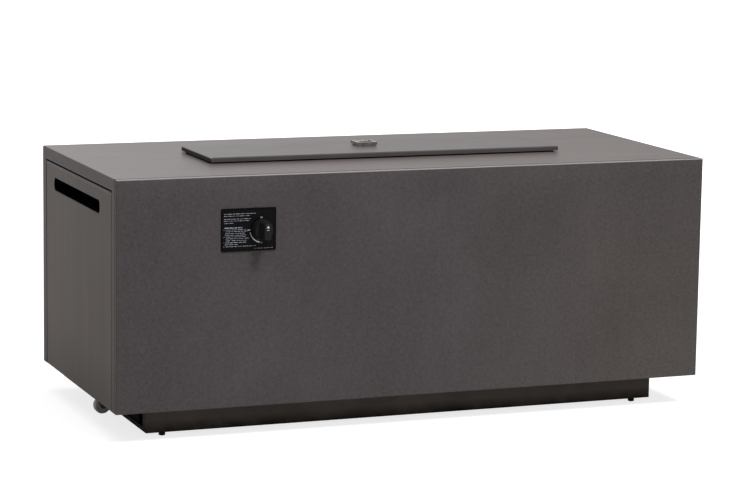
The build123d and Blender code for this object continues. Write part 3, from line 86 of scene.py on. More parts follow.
def noise(tree, place, scale, detail, swirl=0.0):
    """Noise of about 0.2 to 0.8 at a place."""
    return put(tree, "ShaderNodeTexNoise", {
        "Vector": place, "Scale": scale, "Detail": detail, "Distortion": swirl}).outputs["Fac"]


def new_effect(name, floats, vectors=None):
    """An empty node group with float and vector inputs and one output, Mask."""
    tree = bpy.data.node_groups.new(name, "ShaderNodeTree")
    for kind, values in (("NodeSocketFloat", floats), ("NodeSocketVector", vectors or {})):
        for key, value in values.items():
            tree.interface.new_socket(key, in_out="INPUT", socket_type=kind).default_value = value
    tree.interface.new_socket("Mask", in_out="OUTPUT", socket_type="NodeSocketFloat")
    return tree, put(tree, "NodeGroupInput").outputs


def give_mask(tree, mask):
    """Makes mask the output of an effect and returns the finished group."""
    put(tree, "NodeGroupOutput", {"Mask": mask})
    return tree


def build_patches():
    """Soft patches: noise on the position times Scale (per metre), cut from Low to High."""
    tree, given = new_effect(
        "patches", {"Detail": 3.0, "Swirl": 0.0, "Low": 0.4, "High": 0.6}, {"Scale": (10, 10, 10)})
    spread = vector_calc(tree, "MULTIPLY", position(tree), given["Scale"])
    grain = noise(tree, spread, 1.0, given["Detail"], given["Swirl"])
    return give_mask(tree, remap(tree, grain, given["Low"], given["High"]))


def build_worn_edges():
    """Edge rub: how far the normal averaged within Width turns from the true one, with noise."""
    tree, given = new_effect(
        "worn_edges", {"Width": 0.0015, "Start": 0.02, "Full": 0.2, "Break": 60.0})
    soft = put(tree, "ShaderNodeBevel", {"Radius": given["Width"]}, samples=4).outputs[0]
    true = put(tree, "ShaderNodeNewGeometry").outputs["Normal"]
    turn = calc(tree, "SUBTRACT", 1.0, vector_calc(tree, "DOT_PRODUCT", soft, true))
    edge = remap(tree, turn, given["Start"], given["Full"])
    broken = remap(tree, noise(tree, position(tree), given["Break"], 4.0), 0.42, 0.62)
    return give_mask(tree, calc(tree, "MULTIPLY", edge, broken))


patches = build_patches()
worn_edges = build_worn_edges()


def use(tree, effect, **values):
    """Places an effect group with its own values and returns its mask."""
    return put(tree, "ShaderNodeGroup", values, node_tree=effect).outputs["Mask"]


def tint(tree, mask, first, second):
    """The first colour where mask is 0, the second where it is 1."""
    node = put(tree, "ShaderNodeMix", data_type="RGBA")
    for slot, value in ((0, mask), (6, first), (7, second)):
        if isinstance(value, bpy.types.NodeSocket):
            tree.links.new(value, node.inputs[slot])
        else:
            node.inputs[slot].default_value = (*value, 1.0)
    return node.outputs[2]


def ranged(tree, mask, low, high):
    """A number that runs from low to high with the mask."""
    return remap(tree, mask, 0.0, 1.0, low, high)


def summed(tree, *pairs):
    """The sum of each output times its weight."""
    total = 0.0
    for output, weight in pairs:
        total = put(tree, "ShaderNodeMath", {0: output, 1: weight, 2: total},
                    operation="MULTIPLY_ADD").outputs[0]
    return total


def new_finish(name, roughness=0.5, metallic=0.0, specular=0.5, coat=0.0):
    """A material with one Principled shader and its plain constants: material, tree, shader."""
    material = bpy.data.materials.new(name)
    material.use_nodes = True
    tree = material.node_tree
    shader = tree.nodes["Principled BSDF"]
    shader.inputs["Roughness"].default_value = roughness
    shader.inputs["Metallic"].default_value = metallic
    shader.inputs["Specular IOR Level"].default_value = specular
    shader.inputs["Coat Weight"].default_value = coat
    return material, tree, shader


def finish_surface(tree, shader, colour, roughness, height, depth):
    """Feeds the shader its colour, roughness and a bump of the given depth in metres."""
    bump = put(tree, "ShaderNodeBump", {"Strength": 1.0, "Distance": depth, "Height": height})
    tree.links.new(colour, shader.inputs["Base Color"])
    tree.links.new(roughness, shader.inputs["Roughness"])
    tree.links.new(bump.outputs[0], shader.inputs["Normal"])


def dress(material, *names):
    """Puts the material into every slot of these nodes."""
    for name in names:
        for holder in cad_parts[name].material_slots:
            holder.material = material


def powder_coat(name, dark, pale, rub, ripple=350.0, roughness=(0.45, 0.6), specular=0.04):
    """Powder coat: soft colour drift, a fine ripple in the surface and rubbed edges."""
    material, tree, shader = new_finish(name, specular=specular)
    drift = use(tree, patches, Scale=(14, 14, 14), Low=0.35, High=0.65)
    peel = use(tree, patches, Scale=(ripple,) * 3, Detail=1.0, Low=0.2, High=0.8)
    grit = use(tree, patches, Scale=(1600,) * 3, Detail=2.0, Low=0.3, High=0.7)
    edge = use(tree, worn_edges, Width=0.0012, Start=0.05, Full=0.5)
    body = tint(tree, drift, dark, pale)
    colour = tint(tree, ranged(tree, edge, 0.0, 0.5), body, rub)
    rough = summed(tree, (ranged(tree, drift, *roughness), 1.0), (grit, 0.06))
    finish_surface(tree, shader, colour, rough, summed(tree, (peel, 0.8), (grit, 0.25)), 0.00012)
    return material


frame_coat = powder_coat(
    "frame_coat", (0.014, 0.014, 0.014), (0.022, 0.021, 0.021), (0.16, 0.155, 0.15))
dress(frame_coat, "frame_posts", "frame_top_rails", "frame_top_crossbars", "frame_bottom_rails",
      "frame_bottom_crossbars", "base_deck", "slide_channels")


# ------------------------------------------------------------------------------------------------
# Plinth: folded steel sheet set back under the casing, coated brown black, given a paler brown to
# stand in for the light the floor bounces onto it: painted light. The left end is open for the
# drawer and has only a low rail. It gets darker towards its lowest edge.

def build_low_band():
    """A band that thins out upwards: 1 at the floor, 0 at Top, broken up by noise."""
    tree, given = new_effect("low_band", {"Top": 0.05, "Break": 25.0})
    place = position(tree)
    height = put(tree, "ShaderNodeSeparateXYZ", {0: place}).outputs["Z"]
    low = remap(tree, height, 0.0, given["Top"], 1.0, 0.0)
    return give_mask(tree, calc(tree, "MULTIPLY", low, noise(tree, place, given["Break"], 6.0)))


low_band = build_low_band()


def low_darkened_coat(name, dark, pale, low_colour, top):
    """Powder coat that gets darker towards its lowest part."""
    material = powder_coat(name, dark, pale, (0.09, 0.08, 0.07), specular=0.001)
    tree = material.node_tree
    shader = tree.nodes["Principled BSDF"]
    clean = shader.inputs["Base Color"].links[0].from_socket
    # Darker towards the bottom.
    mask = ranged(tree, use(tree, low_band, Top=top), 0.0, 2.2)
    tree.links.new(tint(tree, mask, clean, low_colour), shader.inputs["Base Color"])
    return material


# A paler brown than the real brown black, standing in for the light the floor bounces onto it:
# painted light.
plinth_coat = low_darkened_coat("plinth_coat", (0.103, 0.086, 0.0745), (0.129, 0.108, 0.0935),
                         (0.02, 0.017, 0.015), 0.036)
dress(plinth_coat, "plinth_front", "plinth_back", "plinth_right_end", "plinth_left_rail")


# ------------------------------------------------------------------------------------------------
# Levelling feet: a moulded black pad on an M8 steel stud, one in each plinth corner. The stud's
# thread runs in a nut, and turning the foot raises or lowers that corner.

def surface(name, grids, ring=True, loop=False, caps=True, crease=35.0):
    """Quads through grids of points (copies, rows, columns, xyz). ring joins each row's end to its
    start, loop the last row to the first, caps closes the end rows. The faces are turned over where
    the volume they enclose comes out negative, so they point outwards."""
    grids = np.asarray(grids, float)
    if grids.ndim == 3:
        grids = grids[None]
    copies, rows, columns = grids.shape[:3]
    index = np.arange(rows * columns).reshape(rows, columns)
    across = np.arange(columns if ring else columns - 1)[None, :]
    along = np.arange(rows if loop else rows - 1)[:, None]
    next_across = (across + 1) % columns
    next_along = (along + 1) % rows
    quads = np.stack([index[along, across], index[along, next_across],
                      index[next_along, next_across], index[next_along, across]], -1).reshape(-1, 4)
    first = grids[0].reshape(-1, 3) - grids[0].reshape(-1, 3).mean(0)
    a, b, c, d = (first[quads[:, k]] for k in range(4))
    volume = np.einsum("ij,ij->", a, np.cross(b, c)) + np.einsum("ij,ij->", a, np.cross(c, d))
    starts = np.arange(copies)[:, None] * rows * columns
    faces = (quads[None] + starts[:, None]).reshape(-1, 4).tolist()
    if caps:
        faces += (index[0][::-1] + starts).tolist() + (index[-1] + starts).tolist()
    mesh = bpy.data.meshes.new(name)
    mesh.from_pydata(grids.reshape(-1, 3).tolist(), [], faces)
    if volume < 0:
        mesh.flip_normals()
    mesh.shade_smooth()
    mesh.set_sharp_from_angle(angle=math.radians(crease))
    return mesh


def piece(name, mesh, material):
    """An object at the origin that holds the mesh and its material."""
    item = bpy.data.objects.new(name, mesh)
    bpy.context.scene.collection.objects.link(item)
    mesh.materials.append(material)
    return item


def threaded_stud(centre, heights, radii, thread_from, thread_to, pitch, depth, sides=28):
    """A turned stud about +Z. The radius follows heights and radii; between thread_from and
    thread_to it dips by depth on a triangle wave of (height / pitch - turn), which is a helix."""
    rows = np.unique(np.concatenate([heights, np.arange(thread_from, thread_to, pitch / 6)]))
    turn = np.arange(sides) / sides
    z, t = np.meshgrid(rows, turn, indexing="ij")
    wave = np.abs((z / pitch - t) % 1.0 - 0.5) * 2.0
    inside = np.clip((z - thread_from) / pitch, 0, 1) * np.clip((thread_to - z) / pitch, 0, 1)
    radius = np.interp(z, heights, radii) - depth * wave * inside
    return np.stack([centre[0] + radius * np.cos(2 * math.pi * t),
                     centre[1] + radius * np.sin(2 * math.pi * t), z], -1)


def coordinate(tree, axis):
    """The place on the object along one axis, X, Y or Z, in metres."""
    return put(tree, "ShaderNodeSeparateXYZ", {0: position(tree)}).outputs[axis]


pad_top = 0.0095
thread_start, thread_pitch, thread_depth = 0.0105, 0.00125, 0.00055
stud_radius, stud_tip_radius, stud_tip_height = 0.00395, 0.0033, 0.0006
pad_heights = (0.0, 0.0003, 0.0009, 0.0012, 0.0053, 0.0059,
               0.0064, 0.0065, 0.0066, 0.0093, pad_top, 0.0096)
pad_radii = (0.0058, 0.0065, 0.0073, 0.0076, 0.0076, 0.0073,
             0.0066, 0.0062, 0.006, 0.006, 0.0056, stud_radius)


def foot_finish():
    """Black moulded pad below, plated thread above, changed over at the pad's top."""
    material, tree, shader = new_finish("foot_pad_and_stud", specular=0.08)
    steel = calc(tree, "GREATER_THAN", coordinate(tree, "Z"), pad_top)
    drift = use(tree, patches, Scale=(300, 300, 300), Low=0.3, High=0.7)
    dust = use(tree, low_band, Top=0.006, Break=200.0)
    pad = tint(tree, dust, (0.004, 0.004, 0.004), (0.012, 0.011, 0.01))
    stud = tint(tree, drift, (0.42, 0.43, 0.44), (0.56, 0.56, 0.55))
    tree.links.new(steel, shader.inputs["Metallic"])
    rough = ranged(tree, drift, 0.35, 0.55)
    finish_surface(tree, shader, tint(tree, steel, pad, stud), rough, drift, 0.00003)
    return material


foot_material = foot_finish()
for corner, body in (("front_left", "foot_fl"), ("front_right", "foot_fr"),
                     ("back_left", "foot_bl"), ("back_right", "foot_br")):
    low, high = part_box("foot_" + corner)
    middle = ((low.x + high.x) / 2, (low.y + high.y) / 2)
    tip = high.z - stud_tip_height
    heights = np.append(low.z + np.array(pad_heights), [tip, high.z])
    radii = np.append(pad_radii, [stud_radius, stud_tip_radius])
    name = "levelling_foot_" + corner
    stud = threaded_stud(middle, heights, radii, low.z + thread_start, tip,
                         thread_pitch, thread_depth)
    foot = piece(name, surface(name, stud), foot_material)
    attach(foot, body)
    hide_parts("foot_" + corner)


# ------------------------------------------------------------------------------------------------
# Castings: fibre-reinforced concrete, cast face down in smooth moulds, with a sealed top. The faces
# keep cloudy cement patches, short pale fibres, a few pin holes and rubbed arrises, and light and
# shade are painted on them: the rubbed arrises pale facing up and dark facing down, painted
# highlights on the upper front arris and below the drawer's top gap, the faces lighter towards +X,
# the end faces warmer and lighter towards the back as if lit from the left, and black painted shade
# in the gaps round the drawer and in its hand slot. A painted dark reflection runs along the top
# near the front edge, and a dark line runs down the end face near the front corner.

def build_pin_holes():
    """Pin holes: the middles of scattered cells nearer than Size, on a share of the cells."""
    tree, given = new_effect("pin_holes", {"Cells": 90.0, "Size": 0.12, "Share": 0.3})
    cells = put(tree, "ShaderNodeTexVoronoi", {"Vector": position(tree), "Scale": given["Cells"]})
    near = remap(tree, cells.outputs["Distance"], 0.0, given["Size"], 1.0, 0.0)
    pick = put(tree, "ShaderNodeSeparateColor", {0: cells.outputs["Color"]}).outputs[0]
    picked = calc(tree, "LESS_THAN", pick, given["Share"])
    return give_mask(tree, calc(tree, "MULTIPLY", near, picked))


def build_facing():
    """Faces that look along Direction: 0 where the cosine is Start or less, 1 from Full up."""
    tree, given = new_effect("facing", {"Start": 0.7, "Full": 0.97}, {"Direction": (0, 0, 1)})
    normal = put(tree, "ShaderNodeNewGeometry").outputs["True Normal"]
    cosine = vector_calc(tree, "DOT_PRODUCT", normal, given["Direction"])
    return give_mask(tree, remap(tree, cosine, given["Start"], given["Full"]))


def build_box_mask():
    """A box with soft walls: 1 inside Middle +- Half, 0 further out than Soft."""
    tree, given = new_effect("box_mask", {"Soft": 0.001}, {"Middle": (0, 0, 0), "Half": (1, 1, 1)})
    offset = vector_calc(tree, "SUBTRACT", position(tree), given["Middle"])
    beyond = vector_calc(tree, "SUBTRACT", vector_calc(tree, "ABSOLUTE", offset), given["Half"])
    past = put(tree, "ShaderNodeSeparateXYZ", {0: beyond}).outputs
    most = calc(tree, "MAXIMUM", calc(tree, "MAXIMUM", past[0], past[1]), past[2])
    return give_mask(tree, remap(tree, most, 0.0, given["Soft"], 1.0, 0.0))


pin_holes = build_pin_holes()
facing = build_facing()
box_mask = build_box_mask()
# The faces get lighter from left_x to right_x and the sealer thins there; the end faces get lighter
# from back_start to back_full. Both lightenings are painted light.
left_x, right_x = -0.7, 0.7
# The faces get paler within this depth below the top.
paler_top_depth = 0.043
end_darkening_top, end_darkening_full = 0.19, 0.07
back_start, back_full = -0.15, 0.25


def sealed_top(tree, shader, weight, fade, *less):
    """A clear sealer on the level faces: its weight fades along +X, runs in faint streaks the same
    way and drops where less says so."""
    wiped = use(tree, patches, Scale=(5, 40, 40), Detail=5.0, Swirl=0.4, Low=0.3, High=0.7)
    amount = remap(tree, coordinate(tree, "X"), left_x, right_x, weight, weight - fade)
    amount = summed(tree, (amount, 1.0), (wiped, 0.06))
    level = calc(tree, "MULTIPLY", use(tree, facing), amount)
    tree.links.new(summed(tree, (level, 1.0), *less), shader.inputs["Coat Weight"])
    shader.inputs["Coat Roughness"].default_value = 0.3


def casting(name, dark, pale, streak_scale, streak_share, highlight_line, highlight_tone, blacked):
    """Concrete with a sealer rolled on its level faces alone: large clouds, small mottling, fibres,
    streaks down the mould and pin holes, paler and warmer low on the right, paler near the top and
    darker low on the end. Painted light: the faces lighter towards +X, the end faces warmer and
    lighter towards the back, the rubbed arrises pale facing up and dark facing down. The highlight
    line is the effect and values of a painted highlight on an arris, in the highlight tone. blacked
    lists those of the painted black shade inside gaps and slots and of painted dark lines, each
    with what it takes off the roughness."""
    material, tree, shader = new_finish(name, specular=0.02)
    clouds = use(tree, patches, Scale=(4, 4, 4), Detail=5.0, Swirl=0.6, Low=0.3, High=0.7)
    mottling = use(tree, patches, Scale=(125, 125, 125), Detail=6.0, Swirl=0.3, Low=0.3, High=0.7)
    speckle = use(tree, patches, Scale=(300, 300, 300), Detail=3.0, Low=0.3, High=0.7)
    fibres = use(tree, patches, Scale=(140, 140, 140), Detail=3.0, Swirl=5.0, Low=0.6, High=0.72)
    streaks = use(tree, patches, Scale=streak_scale, Detail=3.0, Low=0.3, High=0.7)
    grit = use(tree, patches, Scale=(1100,) * 3, Detail=2.0, Low=0.25, High=0.75)
    holes = use(tree, pin_holes, Cells=70.0, Size=0.1, Share=0.25)
    edge = use(tree, worn_edges, Width=0.003, Start=0.01, Full=0.25, Break=90.0)
    upper = use(tree, facing, Start=0.1, Full=0.6)
    level = use(tree, facing)
    end = use(tree, facing, Direction=(-1, 0, 0), Start=0.6, Full=0.95)
    place = put(tree, "ShaderNodeSeparateXYZ", {0: position(tree)}).outputs
    # Paler near the top. Painted light: the faces lighter towards +X, and the end faces lighter
    # towards the back.
    paler_near_top = remap(tree, place["Z"], slab_high.z - paler_top_depth, slab_high.z)
    along = remap(tree, place["X"], left_x, right_x + 0.02)
    behind = calc(tree, "MULTIPLY", remap(tree, place["Y"], back_start, back_full), end)
    shade = summed(
        tree, (clouds, 0.24), (mottling, 0.32 - streak_share / 2),
        (speckle, 0.34 - streak_share / 2), (streaks, streak_share), (fibres, 0.06), (grit, 0.04),
        (paler_near_top, 0.12), (along, 0.1), (level, -0.08), (behind, 0.42))
    face = tint(tree, shade, dark, pale)
    # Paler and warmer towards the lower right front corner.
    paler_low_right = use(tree, box_mask, Soft=0.6, Middle=(slab_high.x, slab_low.y, door_low.z),
                Half=(0.02, 0.05, 0.08))
    dust = tint(tree, shade, (0.069, 0.059, 0.052), (0.151, 0.135, 0.122))
    face = tint(tree, ranged(tree, paler_low_right, 0.0, 0.8), face, dust)
    # Painted light: the end faces are toned warmer, as if lit warm from the left. The level faces
    # are toned warmer as well.
    warm = tint(tree, ranged(tree, end, 0.0, 0.5), face, (0.14, 0.117, 0.102))
    warm = tint(tree, ranged(tree, level, 0.0, 0.5), warm, (0.125, 0.101, 0.091))
    # The end faces get darker towards the bottom.
    end_low_darkening = calc(tree, "MULTIPLY", remap(tree, place["Z"], end_darkening_top, end_darkening_full), end)
    warm = tint(tree, ranged(tree, end_low_darkening, 0.0, 0.34), warm, (0.04, 0.034, 0.029))
    # Rubbed arrises: worn edges toned pale where they face up, a painted highlight, and dark where
    # they face down, painted shade.
    arris = tint(tree, upper, (0.04, 0.035, 0.033), (0.24, 0.22, 0.21))
    rubbed = tint(tree, ranged(tree, edge, 0.0, 0.5), warm, arris)
    # Painted highlight: a pale line on an arris.
    line_effect, line_values = highlight_line
    line = use(tree, line_effect, **line_values)
    rubbed = tint(tree, ranged(tree, line, 0.0, 0.8), rubbed, highlight_tone)
    colour = tint(tree, holes, rubbed, (0.03, 0.028, 0.027))
    rough = summed(tree, (ranged(tree, clouds, 0.4, 0.46), 1.0), (mottling, 0.06), (grit, 0.04))
    height = summed(tree, (mottling, 0.22), (speckle, 0.2), (fibres, 0.08), (grit, 0.08),
                    (holes, -1.0))
    # Painted shade: the places inside gaps and slots, and the painted dark lines, are toned near
    # black.
    black = 0.0
    for effect, values, gloss in blacked:
        mask = use(tree, effect, **values)
        black = summed(tree, (black, 1.0), (mask, 1.0))
        rough = summed(tree, (rough, 1.0), (mask, -gloss))
    colour = tint(tree, black, colour, (0.0012, 0.0012, 0.0012))
    finish_surface(tree, shader, colour, rough, height, 0.00008)
    sealed_top(tree, shader, 0.5, 0.3, (holes, -0.3), (black, -0.5))
    return material


door_low, door_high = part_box("drawer_front")
slab_low, slab_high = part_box("top_slab")
door_middle_y = (door_low.y + door_high.y) / 2
diagonal = math.sqrt(0.5)
# Painted highlight on the upper front arris.
front_arris_highlight = facing, {"Direction": (0, -diagonal, diagonal), "Start": 0.8, "Full": 0.95}
# Painted black shade on the arrises that face down and to the left, over the drawer gap.
gap_arris_shade = facing, {"Direction": (-diagonal, 0, -diagonal), "Start": 0.8, "Full": 0.95}, 0.3
# A painted dark reflection along the top near the front edge, and a dark line down the end face
# near the front corner.
dark_line_depth = 0.0006
top_reflection_inset, top_reflection_half = 0.0105, 0.0018
end_line_inset, end_line_half = 0.0085, 0.001
top_dark_reflection = box_mask, {
    "Middle": (0, slab_low.y + top_reflection_inset, slab_high.z),
    "Half": (1, top_reflection_half, dark_line_depth)}, 0.0
# A dark line down the end face near the front corner.
end_dark_line = box_mask, {
    "Middle": (slab_low.x, slab_low.y + end_line_inset, 0),
    "Half": (dark_line_depth, end_line_half, 1)}, 0.0
# Painted black shade in the gap round the drawer, a little wider than the gap.
gap_depth, gap_beside, gap_above, gap_below = 0.03, 0.0012, 0.0019, 0.003
opening_half_y = door_middle_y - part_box("front_panel")[1].y
opening_half_z = (slab_low.z - door_low.z) / 2
panel_gap_shade = box_mask, {
    "Middle": (slab_low.x, door_middle_y, (door_low.z + slab_low.z) / 2),
    "Half": (gap_depth, opening_half_y + gap_beside, opening_half_z + gap_above)}, 0.3
cast_concrete = casting(
    "cast_concrete", (0.0595, 0.0525, 0.0535), (0.1335, 0.119, 0.1215), (40, 40, 5), 0.06,
    front_arris_highlight, (0.42, 0.395, 0.385), [panel_gap_shade, gap_arris_shade, top_dark_reflection, end_dark_line])
dress(cast_concrete, "top_slab", "front_panel", "back_panel", "right_end_panel")

slot_low, slot_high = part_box("pull_liner")
slot_middle = (slot_low + slot_high) / 2
slot_reach = (slot_high - slot_low) / 2
slot_lip, slot_margin = 0.0012, 0.004
# Painted black shade inside the hand slot.
slot = box_mask, {
    "Middle": tuple(slot_middle),
    "Half": (abs(door_low.x - slot_middle.x) - slot_lip, slot_reach.y + slot_margin,
             slot_reach.z + slot_margin)}, 0.36
# Painted black shade on the door's top edge at the gap.
door_top_shade = box_mask, {
    "Middle": (door_low.x, door_middle_y, door_high.z), "Half": (gap_depth, 1, gap_below)}, 0.3
# A painted highlight line just below the door's top gap.
line_drop, line_half, line_depth = 0.0053, 0.0006, 0.002
door_top_highlight = box_mask, {
    "Middle": (door_low.x, door_middle_y, door_high.z - line_drop),
    "Half": (line_depth, 1, line_half)}
# Painted black shade on the door's sides in the gap.
door_side_shade = [(facing, {"Direction": (0, way, 0), "Start": 0.9, "Full": 0.99}, 0.3)
              for way in (-1, 1)]
# The door's colours are paler and warmer than cast_concrete's, standing in for warm light from the
# left: painted light.
door_concrete = casting(
    "door_concrete", (0.078, 0.068, 0.0635), (0.162, 0.141, 0.132), (35, 35, 1.6), 0.36,
    door_top_highlight, (0.2, 0.183, 0.168), [slot, door_top_shade, *door_side_shade])
dress(door_concrete, "drawer_front")


# ------------------------------------------------------------------------------------------------
# Zinc-plated hardware: screws, nuts, bolts, the slides, the caster fork and the small brackets.
# Bright steel under a thin zinc coat that has clouded a little and taken fine handling scratches.

def plated(name, dark, pale, scratch_scale=(900, 60, 900), roughness=(0.28, 0.45)):
    """Plated metal: cloudy patches, fine one-way scratches and brighter edges."""
    material, tree, shader = new_finish(name, metallic=1.0)
    clouds = use(tree, patches, Scale=(70, 70, 70), Detail=4.0, Low=0.35, High=0.65)
    lines = use(tree, patches, Scale=scratch_scale, Detail=2.0, Low=0.35, High=0.65)
    edge = use(tree, worn_edges, Width=0.0006, Start=0.03, Full=0.3, Break=300.0)
    body = tint(tree, clouds, dark, pale)
    colour = tint(tree, ranged(tree, edge, 0.0, 0.5), body, tuple(min(1.0, c * 1.35) for c in pale))
    rough = summed(tree, (ranged(tree, clouds, *roughness), 1.0), (lines, 0.1))
    finish_surface(tree, shader, colour, rough, lines, 0.00002)
    return material


zinc = plated("zinc_plate", (0.42, 0.43, 0.45), (0.6, 0.6, 0.58))
dress(zinc, "panel_screws", "foot_nuts", "slide_outer_members", "slide_middle_members",
      "slide_inner_members", "strike_plates", "drawer_bolts", "valve_bracket", "shield_hangers")


# ------------------------------------------------------------------------------------------------
# Drawer: the cast front is bolted to two steel uprights on a sheet tray that carries the cylinder
# in a ring. The hand slot is lined with a black folded sleeve, toned near black as painted shade,
# and magnets hold the front shut.

drawer_coat = powder_coat("drawer_coat", (0.006, 0.006, 0.0062), (0.011, 0.011, 0.011),
                          (0.12, 0.115, 0.11), specular=0.001)
dress(drawer_coat, "drawer_uprights", "tank_tray", "tank_ring")

# A black sleeve toned far blacker than black coat, so the slot reads as deep shade: partly painted
# shade.
liner_coat = powder_coat("liner_coat", (0.0015, 0.0015, 0.0015), (0.003, 0.003, 0.003),
                         (0.012, 0.012, 0.012), roughness=(0.06, 0.12), specular=0.02)
dress(liner_coat, "pull_liner")


def moulded(name, dark, pale, texture=900.0, roughness=(0.4, 0.55), specular=0.4,
            depth=0.00004, scuff=None):
    """Moulded plastic or rubber: even colour with a spark-eroded texture and faint scuffs."""
    material, tree, shader = new_finish(name, specular=specular)
    drift = use(tree, patches, Scale=(60, 60, 60), Detail=3.0, Low=0.35, High=0.65)
    spark = use(tree, patches, Scale=(texture,) * 3, Detail=2.0, Low=0.3, High=0.7)
    marks = use(tree, patches, Scale=(260, 30, 260), Detail=2.0, Swirl=1.0, Low=0.66, High=0.74)
    edge = use(tree, worn_edges, Width=0.0008, Start=0.04, Full=0.4, Break=200.0)
    body = tint(tree, drift, dark, pale)
    worn = summed(tree, (marks, 0.25), (edge, 0.4))
    colour = tint(tree, worn, body, scuff or tuple(c * 2.2 for c in pale))
    rough = summed(tree, (ranged(tree, drift, *roughness), 1.0), (marks, 0.12))
    finish_surface(tree, shader, colour, rough, spark, depth)
    return material


dress(moulded("magnet_case", (0.014, 0.014, 0.014), (0.022, 0.022, 0.022)), "magnet_catches")


# ------------------------------------------------------------------------------------------------
# Cylinder clamping screw: a plated thumb screw with a knurled head that pins the cylinder's foot
# ring to the drawer.

dress(plated("clamp_screw_plate", (0.45, 0.45, 0.46), (0.62, 0.62, 0.6), (60, 900, 900)),
      "tank_screw")


# ------------------------------------------------------------------------------------------------
# Caster: a grey moulded wheel on a blackened axle, in a grey coated fork pressed from sheet. It
# carries the end of the drawer when it is pulled out, so the tread is scuffed. The wheel's grey is
# made paler to stand in for the floor's fill light under the casing, as painted light.

# A pale grey, made paler than the wheel's own grey to stand in for fill light: painted light.
wheel_grey = moulded("wheel_grey", (0.6, 0.535, 0.485), (0.7, 0.63, 0.575), texture=500.0,
                     roughness=(0.5, 0.65), specular=0.05, scuff=(0.78, 0.73, 0.69))
dress(wheel_grey, "caster_wheel")
dress(powder_coat("fork_coat", (0.19, 0.17, 0.155), (0.25, 0.224, 0.205), (0.4, 0.37, 0.34),
                  specular=0.01), "caster_fork")
dress(moulded("blackened_axle", (0.01, 0.0095, 0.009), (0.016, 0.015, 0.0145), texture=700.0,
              specular=0.2), "caster_axle")


# ------------------------------------------------------------------------------------------------
# Fire pan and burner: brushed stainless sheet folded to a trough with a flange, and a burner loop
# of stainless tube with a row of ports. Heat has tinted the steel straw and blue round the flames,
# and the pan's rim under the lid is toned black: painted shade for the dark gap under the lid.

def stainless_finish(name, brushed, heat, painted=None):
    """Brushed stainless: fine one-way lines, and a straw to blue tint in patches as heat grows.
    Above the height painted it is toned black and not metallic, as painted shade."""
    material, tree, shader = new_finish(name, metallic=1.0, specular=0.03)
    lines = use(tree, patches, Scale=brushed, Detail=3.0, Low=0.3, High=0.7)
    bloom = use(tree, patches, Scale=(9, 9, 9), Detail=4.0, Swirl=1.5, Low=0.35, High=0.7)
    soot = use(tree, patches, Scale=(28, 28, 28), Detail=6.0, Low=0.5, High=0.75)
    steel = tint(tree, lines, (0.5, 0.49, 0.475), (0.62, 0.61, 0.59))
    straw = tint(tree, ranged(tree, bloom, 0.0, heat), steel, (0.5, 0.34, 0.16))
    colour = tint(tree, ranged(tree, soot, 0.0, heat * 0.7), straw, (0.12, 0.12, 0.16))
    rough = summed(tree, (ranged(tree, bloom, 0.3, 0.4), 1.0), (lines, 0.1))
    if painted:
        paint = calc(tree, "GREATER_THAN", coordinate(tree, "Z"), painted)
        colour = tint(tree, paint, colour, (0.003, 0.003, 0.003))
        rough = summed(tree, (rough, 1.0), (paint, 0.3))
        tree.links.new(ranged(tree, paint, 1.0, 0.0), shader.inputs["Metallic"])
    finish_surface(tree, shader, colour, rough, lines, 0.000025)
    return material


# The pan is toned black above this height: painted shade for the gap under the lid.
pan_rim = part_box("burner_pan")[1].z - 0.012
dress(stainless_finish("pan_stainless", (25, 1400, 1400), 0.25, pan_rim), "burner_pan")
dress(stainless_finish("burner_stainless", (40, 900, 900), 0.7),
      "burner_tube", "burner_brackets", "thermocouple")


def ceramic_finish():
    """Glazed ceramic sleeve round the spark rod: off white with tan heat marks near its tip."""
    material, tree, shader = new_finish("glazed_ceramic", roughness=0.15, coat=0.5)
    marks = use(tree, patches, Scale=(160, 160, 160), Detail=4.0, Low=0.5, High=0.75)
    glaze = use(tree, patches, Scale=(700, 700, 700), Low=0.3, High=0.7)
    colour = tint(tree, marks, (0.72, 0.7, 0.64), (0.5, 0.42, 0.32))
    finish_surface(tree, shader, colour, ranged(tree, marks, 0.14, 0.35), glaze, 0.00002)
    return material


dress(ceramic_finish(), "igniter_electrode")


# ------------------------------------------------------------------------------------------------
# Gas line: a bent aluminium pipe with brass nuts leads from the valve to the brass air mixer under
# the burner. The brass is turned, so fine rings run round it, and it has dulled in the air.

brass = plated("turned_brass", (0.46, 0.31, 0.11), (0.62, 0.45, 0.19),
               (500, 500, 500), (0.26, 0.42))
dress(brass, "air_mixer", "pipe_nuts", "inlet_fitting", "valve_plug")

drawn_aluminium = plated("drawn_aluminium", (0.52, 0.53, 0.54), (0.68, 0.68, 0.68),
                         (400, 400, 400), (0.3, 0.42))
dress(drawn_aluminium, "gas_pipe")


# ------------------------------------------------------------------------------------------------
# Heat shield: galvanised sheet hung under the pan, with the crystal spangle of hot-dip zinc.

def galvanised():
    """Hot-dip zinc: flat crystals, each cell with its own grey and roughness."""
    material, tree, shader = new_finish("galvanised_sheet", metallic=1.0)
    cells = put(tree, "ShaderNodeTexVoronoi", {"Vector": position(tree), "Scale": 110.0})
    grey = put(tree, "ShaderNodeSeparateColor", {0: cells.outputs["Color"]}).outputs[0]
    clouds = use(tree, patches, Scale=(12, 12, 12), Low=0.35, High=0.65)
    shade = summed(tree, (grey, 0.6), (clouds, 0.4))
    colour = tint(tree, shade, (0.4, 0.42, 0.44), (0.6, 0.61, 0.62))
    finish_surface(tree, shader, colour, ranged(tree, grey, 0.32, 0.5), grey, 0.00001)
    return material


dress(galvanised(), "heat_shield")


# ------------------------------------------------------------------------------------------------
# Gas valve: a die-cast aluminium body with a sandy as-cast skin, on a plated bracket behind the
# control plate. Its steel stem comes out through the plate and carries the knob.

